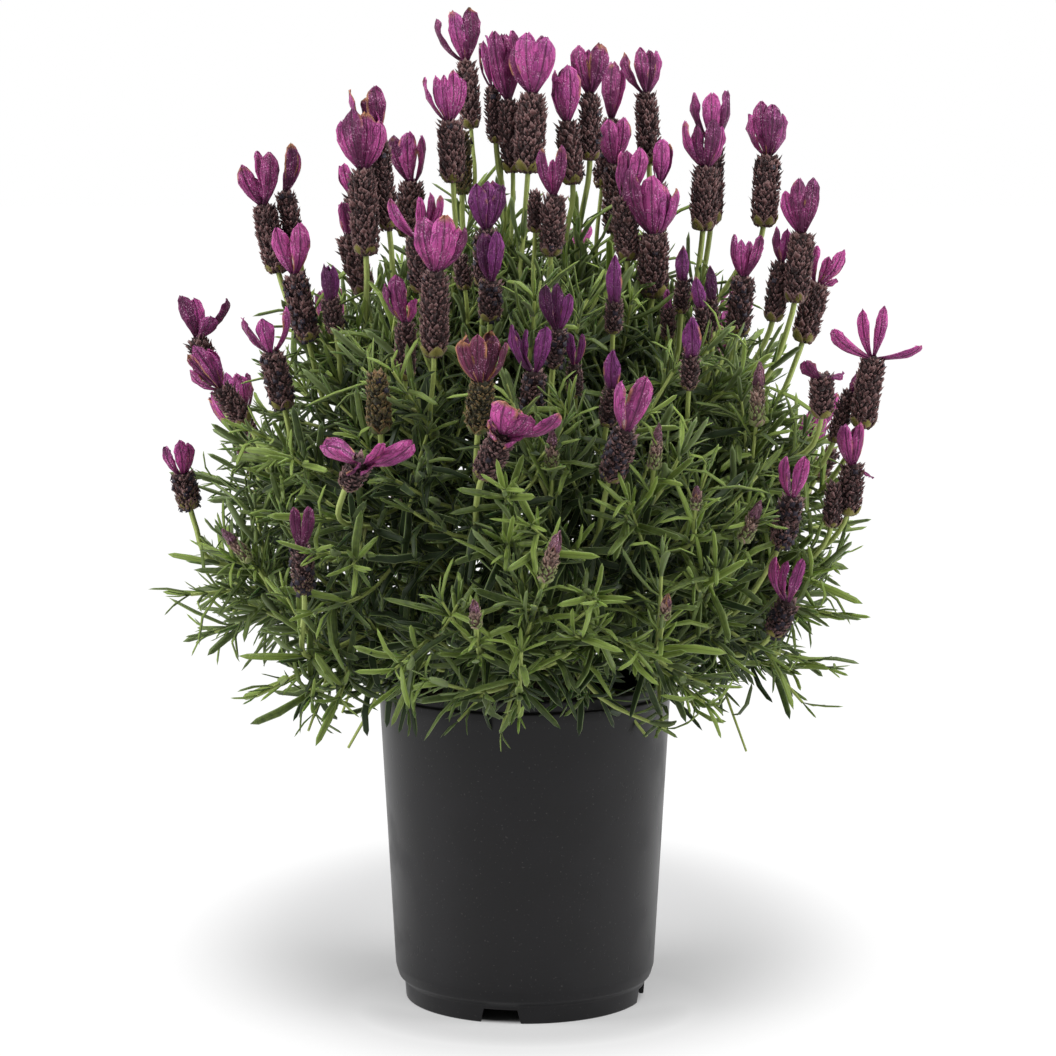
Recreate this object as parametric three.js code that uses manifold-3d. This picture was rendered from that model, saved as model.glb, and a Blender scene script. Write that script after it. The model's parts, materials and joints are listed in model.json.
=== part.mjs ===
// A potted lavender: a bushy plant with dark flower spikes and magenta ears in a plastic nursery pot.
// Millimetres, +Z up. The origin is on the pot's axis at the height of the surface it stands on.
// The front is towards -Y.

import * as THREE from 'three';
import { mergeVertices } from 'three/addons/utils/BufferGeometryUtils.js';
import Module from 'manifold-3d';

const wasm = await Module();
wasm.setup();

// Driving dimensions of the pot
const potHeight = 145.5;
const wallThickness = 1.3;
const lipRadius = 64;
const lipHeight = 5.5;
const shoulderRadius = 65;
const bodyFootRadius = 58.3;
const bodyFootHeight = 15;
const footRingRadius = 54.3;
const footRingHeight = 8.5;
const potSides = 32;
const notchCount = 4;
const notchAngle = THREE.MathUtils.degToRad(-101.5);
const notchTopWidth = 15;
const notchFootWidth = 18.5;
const notchHeight = 6.3;
const drainCount = 4;
const drainRadius = 5;
const drainCircle = 34;
const floorTop = footRingHeight + wallThickness + 1;
const footRingWidth = 4;
const footChamfer = 0.6;
const footCurve = 1.8;
const lipRounding = 1;
const shoulderDrop = 10;
const innerTaperDrop = 12;
const innerTopInset = 1.4;
const innerFootInset = 0.6;
const fitGap = 0.3;

// Driving dimensions of the soil and of the woody stems that stand in it
const soilTop = potHeight - 13;
const soilCrown = 3;
const soilCrownRadius = 30;
const soilSides = 16;
const soilToWall = 0.5;
const stemCircleRadius = 19;
const stemRadius = 3.6;
const stemDepth = 24;
const stemHoleGap = 2;
const branchCount = 5;
const limbSpread = THREE.MathUtils.degToRad(18);

// Driving dimensions of the leaves, stalks and heads
const leafLength = 31;
const leafWidth = 4.2;
const leafThickness = 0.95;
const leafReach = 167;
const shootRadius = 1.35;
const stalkEndRadius = 1.15;
const leafyEndRadius = 0.9;
const rootRadius = 0.9;
const whorlHeight = 3.4;
const earThickness = 0.85;
const earWidthRange = [4, 9.5];
const earShareOfCrown = 0.5;
const smallHeadRadius = 4.4;
const fullHeadRadius = 5;
const fullCrown = 17;
const domeCentre = new THREE.Vector3(-3, 0, 196);
const domeRadius = 146;
const domeHighest = 0.93;
const domeSpan = 1.42;
const domeShootCount = 37;
const rimClearance = 6;
const outwardLean = 0.1;
const stalkDepthShare = 0.82;

// Seeds of the draws, one row of them for each kind of thing
const headSeed = 1000;
const stalkSeed = 3000;
const budSeed = 5000;
const leafySeed = 7000;

// The photograph's view: eye, downward pitch and focal length in pixels of a square frame
const eye = new THREE.Vector3(1.4, -1500, 399);
const pitch = THREE.MathUtils.degToRad(7.1);
const focal = 3392;
const frameCentre = 528;

// The point that a pixel of the photograph shows, at the depth y
function photoPoint([px, py], depth) {
  const across = (px - frameCentre) / focal;
  const up = (frameCentre - py) / focal;
  const ray = new THREE.Vector3(
    across,
    Math.cos(pitch) + up * Math.sin(pitch),
    up * Math.cos(pitch) - Math.sin(pitch),
  );
  return eye.clone().addScaledVector(ray, (depth - eye.y) / ray.y);
}

// A seeded draw between 0 and 1
function makeDraw(seed) {
  let state = seed >>> 0;
  return () => {
    state = (state + 0x6d2b79f5) >>> 0;
    let t = state;
    t = Math.imul(t ^ (t >>> 15), t | 1);
    t ^= t + Math.imul(t ^ (t >>> 7), t | 61);
    return ((t ^ (t >>> 14)) >>> 0) / 4294967296;
  };
}

// Flower heads that the photograph shows, in its pixels. A row holds the head's number, the tip of its ears,
// the top and the base of the spike, the spike's width, the width of the crown of ears, the depth in
// millimetres, where the stalk is seen lower down, and that place's own depth if it has one.
// Heads with one number are fused in one node.
const shownHeads = [
  [1, [463, 8], [466, 60], [471, 127], 23, 34, 12, [475, 179]],
  [2, [448, 70], [450, 120], [453, 181], 28, 42, -15, [456, 240]],
  [2, [462, 100], [463, 130], [462, 193], 23, 0, -5, [463, 250]],
  [3, [500, 31], [508, 98], [513, 171], 24, 34, -6, [508, 259]],
  [3, [534, 32], [533, 92], [528, 171], 33, 48, -14, [521, 259]],
  [3, [482, 34], [492, 85], [496, 142], 18, 14, -3, [504, 230]],
  [4, [565, 65], [567, 120], [573, 183], 26, 30, -4, [566, 245]],
  [4, [590, 43], [590, 92], [590, 159], 23, 44, 0, [577, 259]],
  [5, [618, 61], [612, 117], [602, 187], 22, 24, 26, [596, 250]],
  [5, [612, 117], [615, 163], [613, 232], 24, 32, 17, [610, 280]],
  [6, [646, 47], [646, 92], [649, 163], 25, 34, 34, [650, 235]],
  [7, [636, 147], [624, 196], [628, 259], 27, 36, -14, [618, 320]],
  [7, [652, 176], [654, 233], [653, 296], 34, 56, -16, [632, 370]],
  [7, [666, 139], [659, 182], [656, 240], 22, 20, -5, [650, 300]],
  [8, [703, 120], [706, 166], [703, 229], 29, 46, 0, [694, 290]],
  [8, [712, 91], [713, 140], [711, 222], 25, 42, 9, [700, 285]],
  [9, [767, 101], [768, 154], [764, 225], 29, 42, 5, [751, 252]],
  [10, [803, 177], [803, 232], [795, 301], 28, 42, -12, [767, 376]],
  [10, [783, 226], [782, 261], [773, 320], 23, 24, -7, [749, 368]],
  [11, [834, 248], [818, 283], [803, 341], 28, 36, 10, [773, 407]],
  [12, [745, 236], [744, 276], [737, 335], 26, 36, -26, [717, 393]],
  [13, [872, 309], [873, 356], [862, 426], 29, 92, -44, [807, 501], -22],
  [13, [860, 373], [851, 390], [834, 441], 19, 12, -37, [811, 476]],
  [14, [800, 361], [822, 375], [822, 415], 27, 14, -66, [806, 452]],
  [15, [852, 422], [853, 464], [848, 513], 27, 30, -50, [814, 551], -34],
  [15, [834, 470], [834, 482], [832, 525], 22, 0, -52, [806, 560]],
  [16, [838, 440], [834, 449], [816, 478], 22, 0, -8, [796, 512]],
  [17, [795, 457], [793, 496], [780, 545], 27, 28, -86, [729, 616]],
  [18, [790, 562], [789, 601], [773, 633], 25, 36, -80, [739, 655]],
  [19, [691, 317], [691, 352], [689, 388], 19, 22, -76, [684, 440]],
  [20, [710, 266], [711, 296], [713, 330], 14, 14, -40, [706, 380]],
  [20, [696, 277], [701, 305], [706, 342], 15, 18, -43, [700, 390]],
  [21, [683, 246], [683, 277], [681, 312], 17, 16, -36, [676, 360]],
  [21, [667, 288], [668, 305], [668, 339], 15, 10, -37, [664, 380]],
  [22, [615, 255], [615, 298], [613, 332], 19, 16, -62, [611, 372]],
  [23, [613, 349], [614, 384], [607, 424], 21, 20, -96, [598, 470]],
  [24, [633, 377], [627, 430], [610, 478], 30, 34, -116, [596, 539]],
  [25, [551, 144], [554, 194], [551, 254], 27, 38, -42, [548, 300]],
  [25, [535, 176], [535, 190], [535, 231], 18, 0, -39, [533, 280]],
  [26, [582, 224], [562, 256], [557, 284], 20, 34, 62, [552, 320]],
  [27, [557, 284], [558, 329], [553, 366], 21, 33, -84, [550, 420]],
  [27, [532, 326], [535, 371], [530, 412], 24, 42, -87, [525, 455]],
  [28, [575, 333], [574, 364], [575, 396], 17, 18, -72, [572, 440]],
  [29, [491, 231], [491, 280], [490, 319], 24, 30, -56, [488, 360]],
  [29, [486, 181], [486, 228], [484, 285], 24, 37, -47, [482, 340]],
  [30, [438, 212], [435, 270], [434, 354], 31, 52, -84, [432, 439]],
  [30, [410, 192], [416, 235], [421, 290], 24, 40, -76, [424, 350]],
  [31, [395, 275], [406, 321], [405, 378], 23, 34, -70, [408, 430]],
  [32, [483, 333], [482, 381], [478, 430], 29, 56, -106, [476, 480]],
  [33, [377, 366], [377, 373], [380, 430], 29, 0, -94, [384, 470]],
  [34, [536, 414], [505, 433], [483, 475], 31, 30, -126, [476, 525]],
  [35, [366, 451], [362, 462], [347, 485], 26, 84, -124, [340, 520]],
  [36, [301, 506], [301, 546], [304, 591], 24, 27, -106, [306, 656]],
  [37, [174, 441], [182, 473], [190, 508], 26, 32, -30, [211, 561]],
  [38, [199, 293], [195, 337], [216, 382], 25, 36, -27, [240, 440]],
  [38, [203, 346], [219, 387], [246, 421], 25, 30, -36, [275, 480]],
  [39, [265, 317], [271, 351], [284, 407], 28, 44, -44, [300, 470]],
  [40, [259, 150], [263, 204], [278, 271], 28, 48, -8, [300, 330]],
  [40, [293, 143], [284, 190], [296, 244], 22, 16, -5, [312, 310]],
  [41, [290, 224], [294, 273], [308, 340], 28, 44, -30, [326, 405]],
  [41, [328, 263], [330, 297], [336, 332], 22, 18, -33, [346, 400]],
  [42, [362, 107], [362, 168], [366, 253], 31, 52, -32, [370, 360]],
  [42, [374, 86], [377, 133], [389, 228], 24, 24, -25, [396, 300]],
  [43, [408, 132], [412, 181], [408, 236], 29, 38, 6, [412, 300]],
  [44, [343, 201], [347, 234], [364, 292], 27, 16, -14, [378, 350]],
  [44, [343, 163], [352, 193], [359, 245], 20, 16, -7, [372, 320], 8],
  [45, [460, 247], [460, 255], [465, 288], 20, 0, -40, [468, 330]],
];

// Young closed buds, fused to their green stalks: tip and base in pixels, width, depth in millimetres, and a
// place on the stalk
const shownBuds = [
  [[760, 362], [756, 425], 19, -66, [748, 470]],
  [[659, 424], [654, 468], 15, -112, [648, 510]],
  [[552, 429], [552, 466], 16, -114, [550, 510]],
  [[560, 531], [544, 580], 20, -140, [526, 640]],
  [[222, 529], [250, 560], 17, -66, [280, 600]],
  [[761, 501], [743, 541], 18, -98, [720, 590]],
  [[697, 486], [696, 508], 13, -118, [690, 545]],
  [[668, 594], [664, 618], 13, -132, [655, 650]],
  [[474, 600], [476, 626], 14, -146, [480, 655]],
];

// Heads on the back of the plant: three rows round the far side, each head leaning out. The heads of one
// pair cross at their spikes.
const backRows = [
  { height: 262, reach: 108, from: -52, to: 52, count: 3, pairs: true },
  { height: 216, reach: 144, from: -60, to: 60, count: 2, pairs: true },
  { height: 184, reach: 154, from: -24, to: 22, count: 2, pairs: false },
];

const backSpike = 27;
const backEar = 21;
const backRadius = 5.9;
const pairTurn = 0.035;
const pairLean = 0.16;

const millimetresPerPixel = (-eye.y / focal) / Math.cos(pitch);

// The points and faces of one closed form, gathered while it grows
class Shell {
  constructor() {
    this.points = [];
    this.faces = [];
  }

  point(p) {
    this.points.push(p.clone());
    return this.points.length - 1;
  }

  ring(centre, across, over, radius, sides, turn = 0) {
    const ids = [];
    for (let i = 0; i < sides; i += 1) {
      const angle = turn + (i / sides) * 2 * Math.PI;
      const p = centre.clone();
      p.addScaledVector(across, radius * Math.cos(angle));
      p.addScaledVector(over, radius * Math.sin(angle));
      ids.push(this.point(p));
    }
    return ids;
  }

  // Joins two rings that run counter-clockwise seen from the upper end
  wall(lower, upper) {
    const count = lower.length;
    for (let i = 0; i < count; i += 1) {
      const next = (i + 1) % count;
      this.faces.push([lower[i], lower[next], upper[next]]);
      this.faces.push([lower[i], upper[next], upper[i]]);
    }
  }

  closeStart(ring) {
    for (let i = 1; i < ring.length - 1; i += 1) {
      this.faces.push([ring[0], ring[i + 1], ring[i]]);
    }
  }

  closeEnd(ring) {
    for (let i = 1; i < ring.length - 1; i += 1) {
      this.faces.push([ring[0], ring[i], ring[i + 1]]);
    }
  }

  // Grows a three-sided blade out of one face: its sections replace the face, and it ends in a cap or a tip
  growBlade(face, sections, tip) {
    this.faces.splice(this.faces.indexOf(face), 1);
    let last = face;
    for (const section of sections) {
      const next = section.map((p) => this.point(p));
      for (let i = 0; i < 3; i += 1) {
        const j = (i + 1) % 3;
        this.faces.push([last[i], last[j], next[j]]);
        this.faces.push([last[i], next[j], next[i]]);
      }
      last = next;
    }
    if (tip) {
      const end = this.point(tip);
      for (let i = 0; i < 3; i += 1) {
        this.faces.push([last[i], last[(i + 1) % 3], end]);
      }
    } else {
      this.faces.push([last[0], last[1], last[2]]);
    }
  }

  solid() {
    const vertProperties = new Float32Array(this.points.flatMap((p) => [p.x, p.y, p.z]));
    const triVerts = new Uint32Array(this.faces.flat());
    return new wasm.Manifold(new wasm.Mesh({ numProp: 3, vertProperties, triVerts }));
  }
}

function solidFromGeometry(geometry) {
  const bare = geometry.clone();
  bare.deleteAttribute('normal');
  bare.deleteAttribute('uv');
  const merged = mergeVertices(bare, 1e-4);
  const vertProperties = new Float32Array(merged.attributes.position.array);
  const triVerts = new Uint32Array(merged.index.array);
  return new wasm.Manifold(new wasm.Mesh({ numProp: 3, vertProperties, triVerts }));
}

function geometryFromSolid(solid) {
  const mesh = solid.getMesh();
  const geometry = new THREE.BufferGeometry();
  geometry.setAttribute('position', new THREE.BufferAttribute(mesh.vertProperties, 3));
  geometry.setIndex(new THREE.BufferAttribute(mesh.triVerts, 1));
  geometry.computeVertexNormals();
  return geometry;
}

// Keeps the largest closed body of a solid, and drops loose scraps and sealed hollows
function oneBody(solid) {
  const pieces = solid.decompose();
  pieces.sort((a, b) => b.volume() - a.volume());
  return pieces[0];
}

function joinAll(solids) {
  return solids.reduce((sum, next) => sum.add(next));
}

// Free space: balls along everything that is placed, so that what is added later stays clear of it
const cellSize = 12;
const cells = new Map();

function cellKey(x, y, z) {
  return `${Math.floor(x / cellSize)},${Math.floor(y / cellSize)},${Math.floor(z / cellSize)}`;
}

function occupy(balls, owner) {
  for (const { centre, radius } of balls) {
    const key = cellKey(centre.x, centre.y, centre.z);
    if (!cells.has(key)) {
      cells.set(key, []);
    }
    cells.get(key).push({ centre, radius, owner });
  }
}

function meetsPot({ centre, radius }) {
  const out = Math.hypot(centre.x, centre.y);
  const insideWall = lipRadius - wallThickness - 2;
  const low = centre.z - radius;
  const besideWall = low < potHeight + 1 && out + radius > insideWall && out - radius < shoulderRadius + 1;
  return besideWall || (low < soilTop + soilCrown + 0.5 && out - radius < shoulderRadius);
}

function isFree(balls, owner, margin, counts = () => true) {
  for (const ball of balls) {
    if (meetsPot(ball)) {
      return false;
    }
    const { centre, radius } = ball;
    for (let dx = -1; dx <= 1; dx += 1) {
      for (let dy = -1; dy <= 1; dy += 1) {
        for (let dz = -1; dz <= 1; dz += 1) {
          const key = cellKey(centre.x + dx * cellSize, centre.y + dy * cellSize, centre.z + dz * cellSize);
          for (const other of cells.get(key) ?? []) {
            const reach = radius + other.radius + margin;
            const near = other.centre.distanceToSquared(centre) < reach * reach;
            if (near && other.owner !== owner && counts(other.owner)) {
              return false;
            }
          }
        }
      }
    }
  }
  return true;
}

function ballsAlong(from, to, radius, step) {
  const count = Math.max(1, Math.ceil(from.distanceTo(to) / step));
  const balls = [];
  for (let i = 0; i <= count; i += 1) {
    balls.push({ centre: from.clone().lerp(to, i / count), radius });
  }
  return balls;
}

// A direction at right angles to an axis, as near as can be to the wanted one
function squareTo(axis, wanted) {
  const side = wanted.clone().addScaledVector(axis, -wanted.dot(axis));
  if (side.lengthSq() < 1e-6) {
    side.set(1, 0, 0).addScaledVector(axis, -axis.x);
  }
  return side.normalize();
}

const up = new THREE.Vector3(0, 0, 1);

// The pot: turned profile, foot notches and drainage holes
function makePot() {
  const inner = (outer) => outer - wallThickness;
  const profile = [
    [0, footRingHeight],
    [footRingRadius - footRingWidth, footRingHeight],
    [footRingRadius - footChamfer - 2, 0],
    [footRingRadius - footChamfer, 0],
    [footRingRadius, footRingHeight - footChamfer],
    [bodyFootRadius - 1.4, footRingHeight + footCurve],
    [bodyFootRadius, bodyFootHeight],
    [shoulderRadius, potHeight - shoulderDrop],
    [shoulderRadius, potHeight - lipHeight - 0.6],
    [lipRadius, potHeight - lipHeight],
    [lipRadius, potHeight - lipRounding],
    [lipRadius - lipRounding - 0.2, potHeight],
    [lipRadius - lipRounding - 1.2, potHeight - 0.8],
    [inner(shoulderRadius) - innerTopInset, potHeight - innerTaperDrop],
    [inner(bodyFootRadius) - innerFootInset, bodyFootHeight],
    [footRingRadius - 0.5, floorTop],
    [0, floorTop],
  ];
  const points = profile.map(([radius, height]) => new THREE.Vector2(radius, height));
  const turned = new THREE.LatheGeometry(points, potSides);
  turned.rotateX(Math.PI / 2);
  let pot = solidFromGeometry(turned);
  if (pot.volume() < 0) {
    throw new Error('the pot is inside out');
  }
  for (let i = 0; i < notchCount; i += 1) {
    const turn = notchAngle + (i / notchCount) * 2 * Math.PI;
    pot = pot.subtract(solidFromGeometry(notchShape(turn)));
  }
  for (let i = 0; i < drainCount; i += 1) {
    const turn = (i / drainCount) * 2 * Math.PI;
    const hole = new THREE.CylinderGeometry(drainRadius, drainRadius, 2 * floorTop, 6);
    hole.rotateX(Math.PI / 2);
    hole.translate(drainCircle * Math.cos(turn), drainCircle * Math.sin(turn), footRingHeight);
    pot = pot.subtract(solidFromGeometry(hole));
  }
  return oneBody(pot);
}

// A foot notch: a trapezium cut through the foot ring
function notchShape(turn) {
  const outline = new THREE.Shape();
  const below = -1;
  const inwardReach = 8;
  const depth = 12;
  outline.moveTo(-notchFootWidth / 2, below);
  outline.lineTo(notchFootWidth / 2, below);
  outline.lineTo(notchTopWidth / 2, notchHeight);
  outline.lineTo(-notchTopWidth / 2, notchHeight);
  outline.closePath();
  const geometry = new THREE.ExtrudeGeometry(outline, { depth, bevelEnabled: false });
  geometry.rotateX(Math.PI / 2);
  geometry.rotateZ(Math.PI / 2);
  geometry.translate(footRingRadius - inwardReach, 0, 0);
  geometry.rotateZ(turn);
  return geometry;
}

// Where each woody stem stands, as a direction from the pot's axis: the first faces the front
function branchDirection(index, side = 0) {
  const angle = -Math.PI / 2 + (index / branchCount) * 2 * Math.PI + side * limbSpread;
  return new THREE.Vector3(Math.cos(angle), Math.sin(angle), 0);
}

// The soil: a plug with a low crown and a plain hole for each stem
function makeSoil() {
  const foot = floorTop + fitGap;
  const side = (height) => {
    const share = (height - bodyFootHeight) / (potHeight - innerTaperDrop - bodyFootHeight);
    const low = bodyFootRadius - wallThickness - innerFootInset;
    const high = shoulderRadius - wallThickness - innerTopInset;
    return (low + (high - low) * share) * Math.cos(Math.PI / potSides) - soilToWall;
  };
  const profile = [
    [0, foot],
    [footRingRadius - 2, foot],
    [side(bodyFootHeight), bodyFootHeight + 1],
    [side(soilTop), soilTop],
    [soilCrownRadius, soilTop + soilCrown],
    [0, soilTop + soilCrown],
  ];
  const points = profile.map(([radius, height]) => new THREE.Vector2(radius, height));
  const turned = new THREE.LatheGeometry(points, soilSides);
  turned.rotateX(Math.PI / 2);
  let soil = solidFromGeometry(turned);
  for (let i = 0; i < branchCount; i += 1) {
    const holeRadius = stemRadius + stemHoleGap;
    const hole = new THREE.CylinderGeometry(holeRadius, holeRadius, stemDepth * 2, 6);
    hole.rotateX(Math.PI / 2);
    const centre = branchDirection(i).multiplyScalar(stemCircleRadius);
    hole.translate(centre.x, centre.y, soilTop + soilCrown);
    soil = soil.subtract(solidFromGeometry(hole));
  }
  return oneBody(soil);
}

// A flower head: a six-sided spike whose rings stand in and out as bracts do, and ears grown out of its top
function makeHead(head, seed) {
  const draw = makeDraw(seed);
  const { base, top, radius, crown } = head;
  const axis = top.clone().sub(base).normalize();
  const across = squareTo(axis, new THREE.Vector3(1, 0, 0));
  const over = axis.clone().cross(across);
  const length = top.distanceTo(base);
  const shell = new Shell();
  const longSpike = 33;
  const shortSpike = 19;
  const steps = length > longSpike ? 6 : length > shortSpike ? 4 : 3;
  const sides = radius > fullHeadRadius ? 6 : 5;
  const endSize = 0.68;
  const outSize = 1.08;
  const inSize = 0.88;
  let turn = draw() * Math.PI;
  let lower = null;
  for (let i = 0; i <= steps; i += 1) {
    const along = base.clone().addScaledVector(axis, (length * i) / steps);
    const isEnd = i === 0 || i === steps;
    const swell = isEnd ? endSize : i % 2 === 1 ? outSize : inSize;
    const ring = shell.ring(along, across, over, radius * swell, sides, turn);
    if (lower) {
      shell.wall(lower, ring);
    } else {
      shell.closeStart(ring);
    }
    lower = ring;
    turn += Math.PI / sides;
  }
  const apex = shell.point(top.clone().addScaledVector(axis, radius * 0.35));
  const topFaces = [];
  for (let i = 0; i < sides; i += 1) {
    const face = [lower[i], lower[(i + 1) % sides], apex];
    shell.faces.push(face);
    topFaces.push(face);
  }
  const balls = ballsAlong(base, top, radius, 3);
  const earPlaces = crown > fullCrown && sides === 6 ? [0, 2, 3, 5] : [0, 2, 3];
  for (const place of crown > 0 ? earPlaces : []) {
    const face = topFaces[place];
    const middle = shell.points[face[0]].clone().add(shell.points[face[1]]).multiplyScalar(0.5);
    const outward = squareTo(axis, middle.clone().sub(top));
    balls.push(...growEar(shell, face, { head, axis, outward, draw }));
  }
  return { solid: shell.solid(), balls };
}

// One ear: a rounded blade from a face of the spike's top towards the crown's edge
function growEar(shell, face, { head, axis, outward, draw }) {
  const { top, tip, crown, radius } = head;
  const shortest = 0.86;
  const reach = tip.distanceTo(top) * (shortest + (1 - shortest) * draw());
  const toTip = tip.clone().sub(top).normalize();
  const width = THREE.MathUtils.clamp(crown * earShareOfCrown, ...earWidthRange);
  const spread = Math.max(0.5, crown / 2 - width * 0.3);
  const side = axis.clone().cross(outward).normalize();
  const root = top.clone().addScaledVector(outward, radius * 0.4);
  const middle = root.clone().addScaledVector(toTip, reach * 0.52);
  middle.addScaledVector(outward, spread * 0.62);
  const end = root.clone().addScaledVector(toTip, reach * 0.96);
  end.addScaledVector(outward, spread * 0.8);
  const section = (centre, wide) => {
    return [
      centre.clone().addScaledVector(side, -wide / 2),
      centre.clone().addScaledVector(side, wide / 2),
      centre.clone().addScaledVector(outward, -earThickness),
    ];
  };
  if (radius < smallHeadRadius) {
    shell.growBlade(face, [section(middle, width)], end);
  } else {
    shell.growBlade(face, [section(middle, width), section(end, width * 0.6)], null);
  }
  return [...ballsAlong(root, middle, width * 0.4, 3), ...ballsAlong(middle, end, width * 0.4, 3)];
}

// A leafy shoot: a three-sided stem along a path, with a whorl of leaves at each chosen place. A leaf that
// would touch its neighbours, or reach too far from the pot's axis, is turned or shortened, and left out
// where there is no room.
function makeShoot({ path, radius, endRadius, whorls, owner, seed, leaves, endLeaf }) {
  const draw = makeDraw(seed);
  const shell = new Shell();
  const stations = [0];
  if (whorls.length === 0) {
    stations.push(0.6);
  }
  const length = path.getLength();
  const leafy = [];
  for (const place of whorls) {
    leafy.push(stations.length);
    stations.push(place, Math.min(0.97, place + whorlHeight / length));
  }
  stations.push(1);
  const rings = [];
  const frames = [];
  let across = squareTo(path.getTangentAt(0), new THREE.Vector3(draw() - 0.5, draw() - 0.5, 0.1));
  for (const place of stations) {
    const centre = path.getPointAt(place);
    const axis = path.getTangentAt(place);
    across = squareTo(axis, across);
    const over = axis.clone().cross(across);
    const size = place === 0 ? rootRadius : radius + (endRadius - radius) * place;
    rings.push(shell.ring(centre, across, over, size, 3));
    frames.push({ centre, axis });
  }
  shell.closeStart(rings[0]);
  const rootFaces = [];
  for (let i = 1; i < rings.length; i += 1) {
    const before = shell.faces.length;
    shell.wall(rings[i - 1], rings[i]);
    if (leafy.includes(i - 1)) {
      for (let k = 0; k < 3; k += 1) {
        rootFaces.push({ face: shell.faces[before + 2 * k], frame: frames[i - 1], place: stations[i - 1] });
      }
    }
  }
  shell.closeEnd(rings[rings.length - 1]);
  if (endLeaf) {
    rootFaces.push({ face: shell.faces[shell.faces.length - 1], frame: frames[frames.length - 1], place: 1 });
  }
  const placed = [];
  for (const root of rootFaces.slice(0, leaves)) {
    const leaf = fitLeaf(shell, root, owner, draw);
    if (leaf) {
      shell.growBlade(root.face, [leaf.section], leaf.tip);
      placed.push(...leaf.balls);
    }
  }
  occupy(placed, owner);
  return shell.solid();
}

// Tries a few ways to lay one leaf, and returns the first that is clear of everything else
function fitLeaf(shell, { face, frame, place }, owner, draw) {
  const [left, right, ridge] = face.map((id) => shell.points[id]);
  const root = left.clone().add(right).add(ridge).divideScalar(3);
  const normal = right.clone().sub(left).cross(ridge.clone().sub(left)).normalize();
  const side = right.clone().sub(left).normalize();
  const attempts = 9;
  const droop = 0.12;
  const gapToOthers = 0.7;
  for (let attempt = 0; attempt < attempts; attempt += 1) {
    const lift = THREE.MathUtils.degToRad(24 + 34 * draw());
    const yaw = (draw() - 0.5) * (0.4 + 0.14 * attempt);
    const length = leafLength * (0.8 + 0.3 * draw()) * (1 - 0.045 * attempt);
    const outward = place === 1 ? frame.axis.clone() : normal.clone();
    outward.addScaledVector(side, yaw).normalize();
    const start = outward.clone().multiplyScalar(Math.cos(lift));
    start.addScaledVector(place === 1 ? up : frame.axis, Math.sin(lift)).normalize();
    const middle = root.clone().addScaledVector(start, length * 0.55);
    const finish = start.clone().addScaledVector(outward, 0.25);
    finish.z -= droop;
    const tip = middle.clone().addScaledVector(finish.normalize(), length * 0.45);
    const wide = side.clone().addScaledVector(start, -side.dot(start)).normalize();
    const above = wide.clone().cross(start).normalize();
    if (above.dot(ridge.clone().sub(root)) < 0) {
      above.negate();
    }
    const balls = [
      ...ballsAlong(root.clone().addScaledVector(start, 5), middle, leafWidth * 0.42, 3),
      ...ballsAlong(middle, tip, leafWidth * 0.36, 3),
    ];
    if (Math.hypot(tip.x, tip.y) < leafReach && isFree(balls, owner, gapToOthers)) {
      const section = [
        middle.clone().addScaledVector(wide, -leafWidth / 2),
        middle.clone().addScaledVector(wide, leafWidth / 2),
        middle.clone().addScaledVector(above, leafThickness),
      ];
      return { section, tip, balls };
    }
  }
  return null;
}

// Real sizes and places of the heads
function headFromPhoto([node, tipAt, topAt, baseAt, width, crownWidth, depth, stalkAt, stalkDepth]) {
  const lean = depth * outwardLean;
  const toSize = (pixels) => pixels * millimetresPerPixel * (1 + depth / -eye.y);
  const base = photoPoint(baseAt, depth);
  const top = photoPoint(topAt, depth + lean);
  const tip = photoPoint(tipAt, depth + lean * 1.5);
  const stalk = photoPoint(stalkAt, stalkDepth ?? depth * stalkDepthShare);
  return { base, top, tip, stalk, radius: toSize(width) / 2, crown: toSize(crownWidth), node };
}

function backHeads() {
  const heads = [];
  let node = shownHeads[shownHeads.length - 1][0];
  for (const [rowIndex, row] of backRows.entries()) {
    for (let i = 0; i < row.count; i += 1) {
      node += 1;
      const angle = THREE.MathUtils.degToRad(90 + row.from + ((row.to - row.from) * i) / (row.count - 1));
      const sides = row.pairs ? [-1, 1] : [0];
      for (const side of sides) {
        const turned = angle + side * pairTurn;
        const out = new THREE.Vector3(Math.cos(turned), Math.sin(turned), 0);
        const rise = (i % 2) * 10 + Math.abs(side) * 4 * (side + 1);
        const base = out.clone().multiplyScalar(row.reach).setZ(row.height + rise);
        const lean = out.clone().multiplyScalar(0.32 + 0.1 * rowIndex).setZ(1).normalize();
        lean.x += side * pairLean;
        const top = base.clone().addScaledVector(lean, backSpike - rowIndex * 2);
        const tip = top.clone().addScaledVector(lean, backEar);
        const stalk = base.clone().addScaledVector(lean, 1 - backSpike);
        stalk.addScaledVector(out, -10 - 6 * rowIndex);
        heads.push({ base, top, tip, stalk, radius: backRadius, crown: fullCrown, node });
      }
    }
  }
  return heads;
}

// Limbs: each woody stem forks into two that lean outwards
function limbPath(index, side) {
  const out = branchDirection(index);
  const aside = branchDirection(index, side);
  return new THREE.CatmullRomCurve3([
    out.clone().multiplyScalar(stemCircleRadius).setZ(soilTop + soilCrown - stemDepth + 2),
    out.clone().multiplyScalar(stemCircleRadius).setZ(soilTop + soilCrown + 4),
    aside.clone().multiplyScalar(stemCircleRadius + 5).setZ(soilTop + 28),
    aside.clone().multiplyScalar(stemCircleRadius + 20).setZ(soilTop + 66),
    aside.clone().multiplyScalar(stemCircleRadius + 32).setZ(soilTop + 112),
  ]);
}

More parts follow.
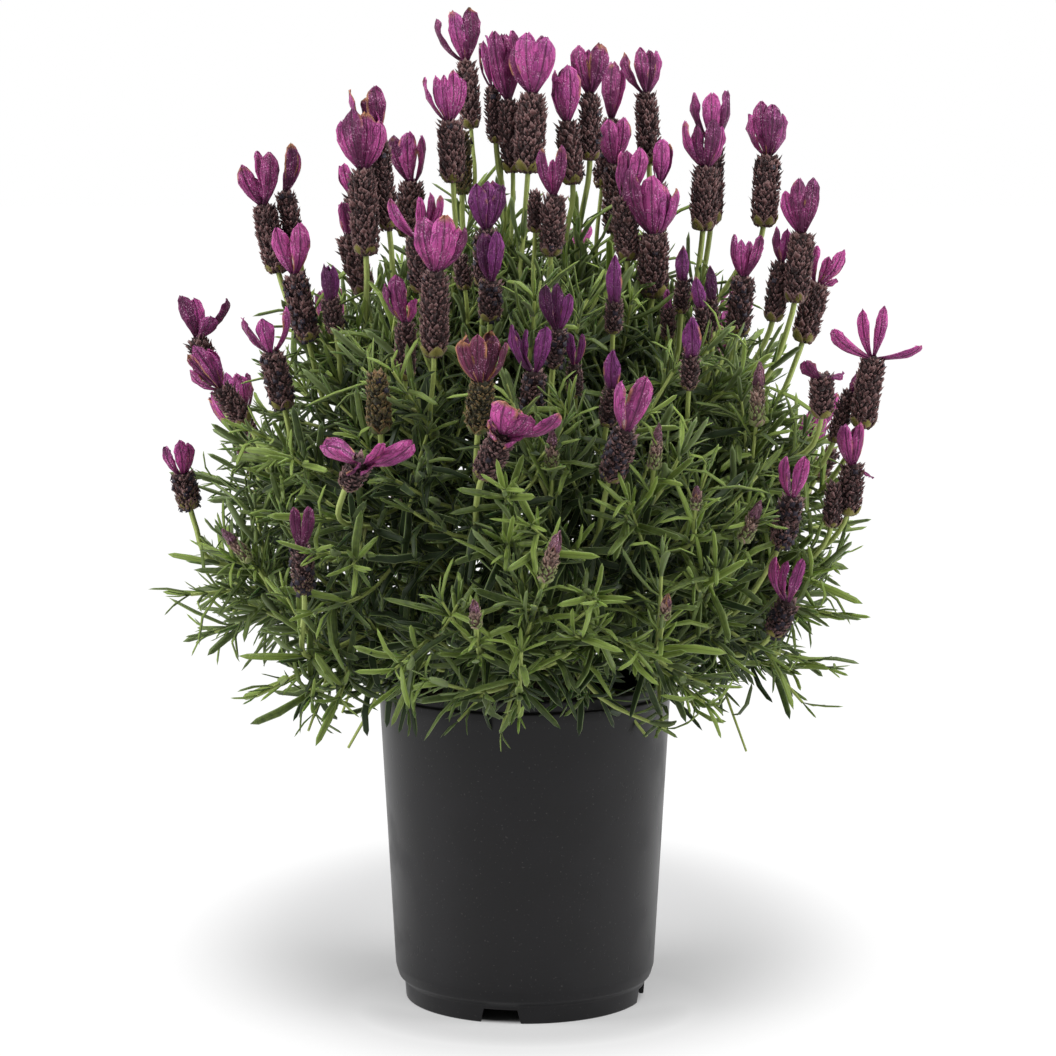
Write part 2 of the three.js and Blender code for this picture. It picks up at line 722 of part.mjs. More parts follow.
function makeLimb(index, side) {
  const path = limbPath(index, side);
  const shell = new Shell();
  const sides = 4;
  let last = null;
  let across = new THREE.Vector3(1, 0, 0);
  for (const place of [0, 0.25, 0.42, 0.7, 1]) {
    const axis = path.getTangentAt(place);
    across = squareTo(axis, across);
    const over = axis.clone().cross(across);
    const ring = shell.ring(path.getPointAt(place), across, over, stemRadius * (1 - 0.55 * place), sides);
    if (last) {
      shell.wall(last, ring);
    } else {
      shell.closeStart(ring);
    }
    last = ring;
  }
  shell.closeEnd(last);
  return shell.solid();
}

// The branch and limb that carry a point: the nearest direction round the pot's axis
function carrierOf(point) {
  const angle = Math.atan2(point.y, point.x) + Math.PI / 2;
  const turns = (angle / (2 * Math.PI)) * branchCount;
  const index = Math.round(turns);
  const side = turns - index >= 0 ? 1 : -1;
  return { index: ((index % branchCount) + branchCount) % branchCount, side };
}

// A stem's path from its fork on the limb to a point, leaving the limb upwards and outwards
function stemPath(limb, through, end, arrival) {
  const lowest = soilTop + 26;
  const heightRange = 240;
  const firstFork = 0.36;
  const forkRange = 0.6;
  const share = THREE.MathUtils.clamp((through.z - lowest) / heightRange, 0, 1);
  const fork = limb.getPointAt(firstFork + forkRange * share);
  const middle = fork.clone().lerp(through, 0.5);
  const bow = 16 * THREE.MathUtils.clamp((through.distanceTo(fork) - 40) / 100, 0, 1);
  middle.z = Math.max(middle.z + bow, potHeight + 10);
  const straightEnd = 9;
  const below = end.clone().addScaledVector(arrival, -straightEnd);
  return new THREE.CatmullRomCurve3([fork, middle, through, below, end], false, 'centripetal');
}

// Points on the outside of the bush, evenly spread, where leafy shoots without flowers end
function domeEnds(count) {
  const ends = [];
  const golden = Math.PI * (3 - Math.sqrt(5));
  for (let i = 0; i < count; i += 1) {
    const height = domeHighest - (domeSpan * (i + 0.5)) / count;
    const out = Math.sqrt(Math.max(0, 1 - height * height));
    const angle = i * golden;
    const radius = domeRadius * (height < 0 ? 1.02 : 1);
    ends.push(new THREE.Vector3(
      domeCentre.x + radius * out * Math.cos(angle),
      domeCentre.y + radius * out * Math.sin(angle),
      Math.max(domeCentre.z + domeRadius * height, potHeight + rimClearance),
    ));
  }
  return ends;
}

const heads = [...shownHeads.map(headFromPhoto), ...backHeads()];
const headSolids = new Map();
heads.forEach((head, index) => {
  const { solid, balls } = makeHead(head, headSeed + index);
  occupy(balls, `head ${head.node}`);
  const rows = headSolids.get(head.node) ?? [];
  rows.push(solid);
  headSolids.set(head.node, rows);
});

// Green stems: one for each head and bud, then leafy shoots that fill the bush
const limbs = [];
for (let index = 0; index < branchCount; index += 1) {
  for (const side of [-1, 1]) {
    limbs.push({ index, side, path: limbPath(index, side), solids: [makeLimb(index, side)] });
  }
}

function limbFor(point) {
  const { index, side } = carrierOf(point);
  return limbs.find((limb) => limb.index === index && limb.side === side);
}

const shoots = [];
heads.forEach((head, index) => {
  const isFirst = index === 0 || heads[index - 1].node !== head.node;
  const axis = head.top.clone().sub(head.base).normalize();
  const end = head.base.clone().addScaledVector(axis, -1.5 * fitGap);
  const limb = limbFor(head.stalk);
  shoots.push({
    limb,
    path: stemPath(limb.path, head.stalk, end, axis),
    radius: shootRadius,
    endRadius: stalkEndRadius,
    whorls: isFirst ? [0.72] : [],
    leaves: 2,
    seed: stalkSeed + index,
  });
});

for (const [index, [tipAt, baseAt, width, depth, stalkAt]] of shownBuds.entries()) {
  const base = photoPoint(baseAt, depth);
  const tip = photoPoint(tipAt, depth * 1.06);
  const through = photoPoint(stalkAt, depth * 0.84);
  const limb = limbFor(base);
  shoots.push({
    limb,
    path: stemPath(limb.path, through, base, tip.clone().sub(base).normalize()),
    radius: shootRadius,
    endRadius: stalkEndRadius,
    whorls: [0.6],
    leaves: 3,
    seed: budSeed + index,
    bud: { base, tip, radius: (width * millimetresPerPixel) / 2 },
  });
}

// A path to a point on the bush's outside that passes clear of every head, turned or shortened to do so
function leafyPath(wanted) {
  const turnsAndShares = [[0, 1], [0.09, 1], [-0.09, 1], [0.16, 0.95], [-0.16, 0.95], [0, 0.85]];
  for (const [turn, share] of turnsAndShares) {
    const end = wanted.clone().sub(domeCentre).applyAxisAngle(up, turn).multiplyScalar(share).add(domeCentre);
    end.z = Math.max(end.z, potHeight + rimClearance);
    const inward = end.clone().lerp(domeCentre, 0.3);
    const limb = limbFor(end);
    const path = stemPath(limb.path, inward, end, end.clone().sub(inward).normalize());
    const outer = path.getSpacedPoints(24).slice(8);
    const balls = outer.map((centre) => ({ centre, radius: shootRadius }));
    if (isFree(balls, '', 1, (owner) => owner.startsWith('head'))) {
      return { limb, path };
    }
  }
  return null;
}

domeEnds(domeShootCount).forEach((wanted, index) => {
  const found = leafyPath(wanted);
  if (!found) {
    return;
  }
  shoots.push({
    ...found,
    radius: shootRadius,
    endRadius: leafyEndRadius,
    whorls: [0.6, 0.85],
    leaves: 7,
    endLeaf: true,
    seed: leafySeed + index,
  });
});

// A closed bud at the end of a green stalk
function makeBud({ base, tip, radius }) {
  const axis = tip.clone().sub(base).normalize();
  const across = squareTo(axis, new THREE.Vector3(1, 0, 0));
  const over = axis.clone().cross(across);
  const length = tip.distanceTo(base);
  const shell = new Shell();
  const sizes = [0.45, 1, 0.8];
  let last = null;
  sizes.forEach((size, i) => {
    const centre = base.clone().addScaledVector(axis, length * (-0.06 + 0.38 * i));
    const ring = shell.ring(centre, across, over, radius * size, 5, i * 0.6);
    if (last) {
      shell.wall(last, ring);
    } else {
      shell.closeStart(ring);
    }
    last = ring;
  });
  const end = shell.point(tip);
  last.forEach((id, i) => shell.faces.push([id, last[(i + 1) % last.length], end]));
  return { solid: shell.solid(), balls: ballsAlong(base, tip, radius, 3) };
}

// Every stem is marked first, so that no leaf crosses a stem of another branch
for (const [index, shoot] of shoots.entries()) {
  shoot.owner = `shoot ${index}`;
  const points = shoot.path.getSpacedPoints(24);
  for (let i = 3; i < points.length - 1; i += 1) {
    occupy(ballsAlong(points[i - 1], points[i], shoot.radius, 4), shoot.owner);
  }
  if (shoot.bud) {
    const { solid, balls } = makeBud(shoot.bud);
    shoot.limb.solids.push(solid);
    occupy(balls, shoot.owner);
  }
}
for (const shoot of shoots) {
  shoot.limb.solids.push(makeShoot(shoot));
}

// Materials from the photograph
const plastic = new THREE.MeshStandardMaterial({ color: 0x2f2d30, roughness: 0.45, metalness: 0 });
const peat = new THREE.MeshStandardMaterial({ color: 0x2a1d14, roughness: 0.95, metalness: 0 });
const leafGreen = new THREE.MeshStandardMaterial({ color: 0x5f7a45, roughness: 0.7, metalness: 0 });
const plum = new THREE.MeshStandardMaterial({ color: 0x7d3070, roughness: 0.6, metalness: 0 });

const plant = new THREE.Group();

function addMesh(name, solid, material) {
  const mesh = new THREE.Mesh(geometryFromSolid(solid), material);
  mesh.name = name;
  plant.add(mesh);
}

addMesh('pot', makePot(), plastic);
addMesh('potting_soil', makeSoil(), peat);
for (let index = 0; index < branchCount; index += 1) {
  const solids = limbs.filter((limb) => limb.index === index).flatMap((limb) => limb.solids);
  addMesh(`leafy_branch_${index + 1}`, oneBody(joinAll(solids)), leafGreen);
}
for (const [node, solids] of headSolids) {
  addMesh(`flower_head_${String(node).padStart(2, '0')}`, oneBody(joinAll(solids)), plum);
}

export default plant;
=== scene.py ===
"""A potted lavender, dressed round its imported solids: a black nursery pot of peat, a bushy green plant with
dark flower spikes under magenta ears, and a plain white studio. Lengths are metres and +Z is up."""

import json
import math
import random

import bpy
import numpy as np
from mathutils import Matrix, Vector

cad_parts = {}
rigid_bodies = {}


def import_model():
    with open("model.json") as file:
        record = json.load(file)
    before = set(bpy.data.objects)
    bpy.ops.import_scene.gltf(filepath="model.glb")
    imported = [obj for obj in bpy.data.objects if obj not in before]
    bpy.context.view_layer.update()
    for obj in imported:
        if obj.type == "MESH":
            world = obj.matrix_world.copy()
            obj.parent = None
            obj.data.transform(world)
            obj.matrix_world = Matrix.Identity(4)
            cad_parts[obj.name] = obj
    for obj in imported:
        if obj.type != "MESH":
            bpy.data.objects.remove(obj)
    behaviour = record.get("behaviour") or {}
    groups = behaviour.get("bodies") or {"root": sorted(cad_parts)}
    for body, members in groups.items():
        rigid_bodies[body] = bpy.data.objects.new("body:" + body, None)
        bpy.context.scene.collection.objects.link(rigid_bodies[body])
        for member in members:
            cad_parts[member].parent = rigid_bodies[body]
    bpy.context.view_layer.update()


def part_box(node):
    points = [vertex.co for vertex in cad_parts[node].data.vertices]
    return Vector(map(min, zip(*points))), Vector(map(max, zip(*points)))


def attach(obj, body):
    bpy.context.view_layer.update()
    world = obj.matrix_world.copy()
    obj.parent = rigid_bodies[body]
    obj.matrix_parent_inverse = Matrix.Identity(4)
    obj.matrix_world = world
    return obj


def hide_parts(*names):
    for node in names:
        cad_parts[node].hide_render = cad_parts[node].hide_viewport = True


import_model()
MM = 0.001


# The pot
# One thin moulded shell of black polypropylene: a lip, a tapered wall and a smaller foot ring with four
# notches. It stands on the ring, and water drains through four holes in its floor.

full_turn = 2 * math.pi
pot_height = 145.5 * MM
wall = 1.3 * MM
lip_radius = 64 * MM
lip_height = 5.5 * MM
shoulder_radius = 65 * MM
body_foot_radius = 58.3 * MM
body_foot_height = 15 * MM
foot_ring_radius = 54.3 * MM
foot_ring_height = 8.5 * MM
pot_turns = 96
notch_count = 4
notch_angle = math.radians(-101.5)
notch_top = 15 * MM
notch_foot = 18.5 * MM
notch_height = 6.3 * MM
drain_count = 4
drain_radius = 5 * MM
drain_circle = 34 * MM
drain_sides = 24


class Signal:
    """One output in a node graph. Arithmetic on it adds the node that does the sum."""

    def __init__(self, graph, socket):
        self.graph, self.socket = graph, socket

    def __add__(self, other):
        return self.graph.math("ADD", self, other)

    def __sub__(self, other):
        return self.graph.math("SUBTRACT", self, other)

    def __rsub__(self, other):
        return self.graph.math("SUBTRACT", other, self)

    def __mul__(self, other):
        return self.graph.math("MULTIPLY", self, other)

    def __truediv__(self, other):
        return self.graph.math("DIVIDE", self, other)

    def __lt__(self, other):
        return self.graph.math("LESS_THAN", self, other)

    def __gt__(self, other):
        return self.graph.math("GREATER_THAN", self, other)


class Graph:
    """Adds nodes to a tree by calls, so that a formula in it reads from left to right."""

    def __init__(self, tree):
        self.tree = tree

    def node(self, kind, links=(), **settings):
        made = self.tree.nodes.new(kind)
        for key, value in settings.items():
            setattr(made, key, value)
        for key, value in dict(links).items():
            if isinstance(value, Signal):
                self.tree.links.new(value.socket, made.inputs[key])
            else:
                made.inputs[key].default_value = value
        return made

    def add(self, kind, links=(), out=0, **settings):
        return Signal(self, self.node(kind, links, **settings).outputs[out])

    def outputs(self, kind, links=(), **settings):
        return {socket.name: Signal(self, socket) for socket in self.node(kind, links, **settings).outputs}

    def math(self, operation, a, b=0.0):
        return self.add("ShaderNodeMath", {0: a, 1: b}, operation=operation)

    def vector(self, operation, a, b=(0, 0, 0), out=0):
        return self.add("ShaderNodeVectorMath", {0: a, 1: b}, out, operation=operation)

    def split(self, vector):
        return list(self.outputs("ShaderNodeSeparateXYZ", {0: vector}).values())

    def point(self, x=0.0, y=0.0, z=0.0):
        return self.add("ShaderNodeCombineXYZ", {0: x, 1: y, 2: z})

    def most(self, first, *others):
        for other in others:
            first = self.math("MAXIMUM", first, other)
        return first

    def between(self, value, low, high, at_low=0.0, at_high=1.0):
        links = {0: value, 1: low, 2: high, 3: at_low, 4: at_high}
        return self.add("ShaderNodeMapRange", links, interpolation_type="SMOOTHSTEP")

    def blend(self, share, a, b):
        """A mix of two colours. Each is a signal, or its red, green and blue."""
        a, b = [(*colour, 1) if isinstance(colour, tuple) else colour for colour in (a, b)]
        return self.add("ShaderNodeMix", {0: share, 6: a, 7: b}, 2, data_type="RGBA")

    def noise(self, place, scale, detail=3.0, out=0):
        return self.add("ShaderNodeTexNoise", {"Vector": place, "Scale": scale, "Detail": detail}, out)

    def attribute(self, name):
        return self.add("ShaderNodeAttribute", out="Fac", attribute_name=name)

    def feed(self, signal, label):
        self.tree.links.new(signal.socket, self.shader[label])

    def skin(self, colour, height=None, strength=0.0, depth=0.0):
        """The finished material: its colour, and its relief where a height is given."""
        self.feed(colour, "Base Color")
        if height is not None:
            links = {"Height": height, "Strength": strength, "Distance": depth}
            self.feed(self.add("ShaderNodeBump", links), "Normal")
        return self.material


def new_material(name, **constants):
    """The graph of a new material. A constant is set on the shader's own socket of that name."""
    material = bpy.data.materials.new(name)
    material.use_nodes = True
    graph = Graph(material.node_tree)
    graph.material = material
    graph.shader = material.node_tree.nodes["Principled BSDF"].inputs
    for label, value in constants.items():
        graph.shader[label.replace("_", " ")].default_value = value
    graph.place = graph.add("ShaderNodeTexCoord", out="Object")
    return graph


def pot_plastic():
    """Black satin plastic with dust specks, a faint haze on the wall, and small pits whose colour is darkened
    as painted shade.
    """
    graph = new_material("pot_plastic", Specular_IOR_Level=0.29)
    haze = graph.between(graph.noise(graph.place, 38, 5), 0.42, 0.72)
    specks = graph.between(graph.noise(graph.place, 900, 1), 0.70, 0.76)
    pits_and_painted_pit_shade = graph.between(graph.noise(graph.place, 420, 2), 0.66, 0.74)
    colour = graph.blend(haze, (0.0042, 0.0038, 0.0048), (0.0075, 0.007, 0.0085))
    colour = graph.blend(specks * 0.08, colour, (0.3, 0.28, 0.27))
    # painted shade: the colour is darkened inside the small pits that the bump sinks in
    colour = graph.blend(pits_and_painted_pit_shade * 0.6, colour, (0.004, 0.004, 0.0045))
    graph.feed(graph.between(haze, 0, 1, 0.36, 0.46), "Roughness")
    return graph.skin(colour, graph.noise(graph.place, 1500, 2) * 0.25 - pits_and_painted_pit_shade, 0.25, 0.15 * MM)


def new_mesh(name, points, faces=(), edges=(), smooth=True, uv=None, **values):
    """A mesh, with the numbers at its points that a skin or a tree reads.

    uv is the name of its map, and a pair of numbers for each corner of its faces.
    """
    mesh = bpy.data.meshes.new(name)
    mesh.from_pydata([tuple(p) for p in points], edges, [tuple(f) for f in faces])
    if faces:
        mesh.shade_smooth() if smooth else mesh.shade_flat()
    if uv:
        layer = mesh.uv_layers.new(name=uv[0])
        layer.data.foreach_set("uv", [value for pair in uv[1] for value in pair])
    for label, numbers in values.items():
        mesh.attributes.new(label, "FLOAT", "POINT").data.foreach_set("value", numbers)
    return mesh


def in_scene(data, material=None):
    """An object of the same name as its mesh, lamp or camera, in the scene."""
    made = bpy.data.objects.new(data.name, data)
    if material:
        data.materials.append(material)
    bpy.context.scene.collection.objects.link(made)
    return made


def softened(profile, reach, steps=4):
    """The profile with each inner corner replaced by a short curve that starts reach before it."""
    curve = [profile[0]]
    for before, corner, after in zip(profile, profile[1:], profile[2:]):
        into, away = before - corner, after - corner
        start = corner + into * min(reach / into.length, 0.45)
        end = corner + away * min(reach / away.length, 0.45)
        for step in range(steps + 1):
            t = step / steps
            curve.append(start * (1 - t) ** 2 + corner * 2 * t * (1 - t) + end * t * t)
    return curve + [profile[-1]]


def on_circle(radius, angle, height, x=0.0, y=0.0):
    return x + radius * math.cos(angle), y + radius * math.sin(angle), height


def turned(name, profile, turns, material):
    """A closed body turned round the Z axis from a profile that starts and ends on it."""
    points = [(0, 0, profile[0][1]), (0, 0, profile[-1][1])]
    rings = profile[1:-1]
    for radius, height in rings:
        points += [on_circle(radius, full_turn * k / turns, height) for k in range(turns)]
    faces = []
    for k in range(turns):
        after = (k + 1) % turns
        faces.append((0, 2 + after, 2 + k))
        last = 2 + (len(rings) - 1) * turns
        faces.append((1, last + k, last + after))
        for row in range(len(rings) - 1):
            low, high = 2 + row * turns, 2 + (row + 1) * turns
            faces.append((low + k, low + after, high + after, high + k))
    return in_scene(new_mesh(name, points, faces), material)


def settle(piece):
    """Turns a piece with its modifiers into a plain mesh."""
    bpy.context.view_layer.update()
    graph = bpy.context.evaluated_depsgraph_get()
    plain = bpy.data.meshes.new_from_object(piece.evaluated_get(graph))
    piece.modifiers.clear()
    piece.data = plain


def finish_piece(piece, slot, *nodes):
    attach(piece, "root")
    if nodes:
        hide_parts(*nodes)


def cut_away(piece, cutters):
    for cutter in cutters:
        modifier = piece.modifiers.new("cut", "BOOLEAN")
        modifier.operation = "DIFFERENCE"
        modifier.solver = "EXACT"
        modifier.object = cutter
    settle(piece)
    for cutter in cutters:
        bpy.data.objects.remove(cutter)


def prism(name, points):
    """A closed block whose lower ring of corners comes first, then its upper ring."""
    sides = len(points) // 2
    faces = [tuple(range(sides))[::-1], tuple(range(sides, 2 * sides))]
    faces += [(k, (k + 1) % sides, sides + (k + 1) % sides, sides + k) for k in range(sides)]
    return in_scene(new_mesh(name, points, faces, smooth=False))


def towards(angle):
    """The level direction at an angle round the pot's axis."""
    return Vector(on_circle(1, angle, 0))


def notch_cutter(angle):
    """A trapezium block across the foot ring at an angle round the axis."""
    out = towards(angle)
    aside = Vector((-out.y, out.x, 0))
    outline = [(-notch_foot / 2, -1 * MM), (notch_foot / 2, -1 * MM),
               (notch_top / 2, notch_height), (-notch_top / 2, notch_height)]
    points = []
    for reach in (foot_ring_radius - 8 * MM, foot_ring_radius + 4 * MM):
        for across, height in outline:
            points.append(out * reach + aside * across + Vector((0, 0, height)))
    return prism("notch", points)


def drain_cutter(angle):
    x, y, floor = on_circle(drain_circle, angle, foot_ring_height)
    points = []
    for height in (floor - 10 * MM, floor + 10 * MM):
        for k in range(drain_sides):
            points.append(on_circle(drain_radius, full_turn * k / drain_sides, height, x, y))
    return prism("drain", points)


def make_pot():
    inner_shoulder = shoulder_radius - wall
    inner_foot = body_foot_radius - wall
    floor = foot_ring_height + wall + 1 * MM
    ledge = pot_height - lip_height
    profile = [
        (0, foot_ring_height),
        (foot_ring_radius - 4 * MM, foot_ring_height),
        (foot_ring_radius - 2.6 * MM, 0),
        (foot_ring_radius - 0.6 * MM, 0),
        (foot_ring_radius, foot_ring_height - 0.6 * MM),
        (body_foot_radius - 1.4 * MM, foot_ring_height + 1.8 * MM),
        (body_foot_radius, body_foot_height),
        (shoulder_radius, pot_height - 10 * MM),
        (shoulder_radius, ledge - 0.6 * MM),
        (lip_radius, ledge),
        (lip_radius, pot_height - 1 * MM),
        (lip_radius - 1.2 * MM, pot_height),
        (lip_radius - 2.2 * MM, pot_height - 0.8 * MM),
        (inner_shoulder - 1.4 * MM, pot_height - 12 * MM),
        (inner_foot - 0.6 * MM, body_foot_height),
        (foot_ring_radius - 0.5 * MM, floor),
        (0, floor),
    ]
    curve = softened([Vector(p) for p in profile], 0.7 * MM)
    pot = turned("pot_shell", curve, pot_turns, pot_plastic())
    cutters = [notch_cutter(notch_angle + full_turn * i / notch_count) for i in range(notch_count)]
    cutters += [drain_cutter(full_turn * i / drain_count) for i in range(drain_count)]
    cut_away(pot, cutters)
    pot.data.set_sharp_from_angle(angle=math.radians(38))
    finish_piece(pot, "pot_plastic", "pot")


make_pot()


# The potting soil
# Moist dark peat pressed into the pot, with a low crown in the middle. Its surface is broken up by crumbs
# of peat and by a few pale grains.

soil_top = pot_height - 13 * MM
soil_crown = 3 * MM
soil_turns = 72
soil_rings = 14


def peat():
    graph = new_material("peat", Roughness=0.95)
    coarse = graph.noise(graph.place, 300, 4)
    colour = graph.blend(graph.between(coarse, 0.35, 0.65), (0.012, 0.008, 0.006), (0.055, 0.033, 0.02))
    grains = graph.between(graph.noise(graph.place, 1100, 1), 0.70, 0.74)
    return graph.skin(graph.blend(grains * 0.5, colour, (0.32, 0.26, 0.18)), coarse, 0.8, 0.8 * MM)


class Tree(Graph):
    """A Geometry Nodes tree with a geometry input, named inputs and a geometry output.

    An input is given by its first value, or by its kind where it has none.
    """

    def __init__(self, name, **inputs):
        super().__init__(bpy.data.node_groups.new(name, "GeometryNodeTree"))
        kinds = {float: "Float", int: "Int", tuple: "Vector"}
        self.socket("Geometry", "Geometry")
        for label, value in inputs.items():
            if isinstance(value, str):
                self.socket(label, value)
            else:
                self.socket(label, kinds[type(value)]).default_value = value
        self.socket("Geometry", "Geometry", "OUTPUT")
        self.given = self.outputs("NodeGroupInput")

    def socket(self, label, kind, in_out="INPUT"):
        return self.tree.interface.new_socket(label, in_out=in_out, socket_type="NodeSocket" + kind)

    def end(self, *parts):
        self.node("NodeGroupOutput", {0: self.joined(*parts)})
        return self.tree

    def random(self, low, high, seed=0):
        """A random value between two plain numbers, two whole ones or two triples."""
        kinds = {float: ("FLOAT", 2, 1), int: ("INT", 4, 2), tuple: ("FLOAT_VECTOR", 0, 0)}
        kind, first, out = kinds[type(low)]
        links = {first: low, first + 1: high, "Seed": seed}
        return self.add("FunctionNodeRandomValue", links, out, data_type=kind)

    def named(self, label, kind="FLOAT"):
        return self.add("GeometryNodeInputNamedAttribute", {"Name": label}, data_type=kind)

    def stored(self, geometry, label, value, kind="FLOAT", domain="INSTANCE"):
        links = {"Geometry": geometry, "Name": label, "Value": value}
        return self.add("GeometryNodeStoreNamedAttribute", links, data_type=kind, domain=domain)

    def members(self, group):
        links = {"Collection": group, "Separate Children": True, "Reset Children": True}
        return self.add("GeometryNodeCollectionInfo", links)

    def shape(self, owner):
        return self.add("GeometryNodeObjectInfo", {"Object": owner}, "Geometry")

    def placed(self, points, shape, turn, size, **links):
        """A copy of a shape on every point."""
        links = {key.replace("_", " "): value for key, value in links.items()}
        links.update({"Points": points, "Instance": shape, "Rotation": turn, "Scale": size})
        return self.add("GeometryNodeInstanceOnPoints", links)

    def tube(self, line, sides, radius, scale):
        section = self.add("GeometryNodeCurvePrimitiveCircle", {"Resolution": sides, "Radius": radius})
        links = {"Curve": line, "Profile Curve": section, "Scale": scale, "Fill Caps": True}
        return self.add("GeometryNodeSetShadeSmooth", {0: self.add("GeometryNodeCurveToMesh", links)})

    def realized(self, geometry):
        return self.add("GeometryNodeRealizeInstances", {0: geometry})

    def painted(self, geometry, material):
        return self.add("GeometryNodeSetMaterial", {"Geometry": geometry, "Material": material})

    def joined(self, *parts):
        both = self.node("GeometryNodeJoinGeometry")
        for part in parts:
            self.tree.links.new(part.socket, both.inputs[0])
        return Signal(self, both.outputs[0])


def with_tree(piece, tree, **values):
    """Adds a tree to a piece as a modifier, with its inputs set by their sockets' identifiers."""
    modifier = piece.modifiers.new(tree.name, "NODES")
    modifier.node_group = tree
    for item in tree.interface.items_tree:
        if item.in_out == "INPUT" and item.name in values:
            modifier[item.identifier] = values[item.name]


def crumb_tree(material):
    """Scatters small crumbs on the upward faces of the soil."""
    tree = Tree("crumbs", Spacing=5.0 * MM, Seed=3)
    upward = tree.split(tree.add("GeometryNodeInputNormal"))[2] > 0.5
    points = tree.add(
        "GeometryNodeDistributePointsOnFaces",
        {"Mesh": tree.given["Geometry"], "Selection": upward, "Distance Min": tree.given["Spacing"],
         "Density Max": 90000.0, "Seed": tree.given["Seed"]},
        distribute_method="POISSON",
    )
    crumb = tree.add("GeometryNodeMeshIcoSphere", {"Radius": 1.0 * MM, "Subdivisions": 1})
    size = tree.random((0.4, 0.4, 0.3), (1.6, 1.3, 0.9))
    crumbs = tree.realized(tree.placed(points, crumb, tree.random((0, 0, 0), (6, 6, 6)), size))
    return tree.end(tree.painted(crumbs, material), tree.given["Geometry"])


def make_soil():
    low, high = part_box("potting_soil")
    top_radius = high.x - 0.4 * MM
    shares = [1 - i / soil_rings for i in range(soil_rings)]
    crown = [Vector((top_radius * share, soil_top + soil_crown * (1 - share * share))) for share in shares]
    profile = [Vector((0, low.z)), Vector((foot_ring_radius - 2 * MM, low.z)),
               Vector((body_foot_radius - wall - 1.5 * MM, body_foot_height + 1 * MM)),
               *crown, Vector((0, soil_top + soil_crown))]
    material = peat()
    soil = turned("peat_plug", profile, soil_turns, material)
    draw = random.Random(5)
    for vertex in soil.data.vertices:
        if vertex.co.z > soil_top - 1 * MM:
            vertex.co.z += draw.uniform(-0.9, 0.2) * MM
    with_tree(soil, crumb_tree(material))
    settle(soil)
    finish_piece(soil, "peat", "potting_soil")


make_soil()


# The woody stems and the green stalks
# Five woody stems stand in the peat, fork into two limbs each, and carry four-sided green stalks. The
# stalks end in flower heads, in young buds or in leafy tips, and side shoots grow from them.

stem_circle = 19 * MM
stem_radius = 3.6 * MM
stem_depth = 24 * MM
branch_count = 5
limb_spread = math.radians(18)
dome_centre = Vector((-3, 0, 196)) * MM
dome_radius = 146 * MM
dome_count = 37
skirt_count = 18
stalk_thickness = 1.08 * MM
golden_turn = math.pi * (3 - math.sqrt(5))

# The photograph's view: eye, downward pitch and focal length in pixels of a square frame
eye = Vector((1.4, -1500, 399)) * MM
pitch = math.radians(7.1)
focal = 3392
frame_centre = 528
pixel = -eye.y / focal / math.cos(pitch)

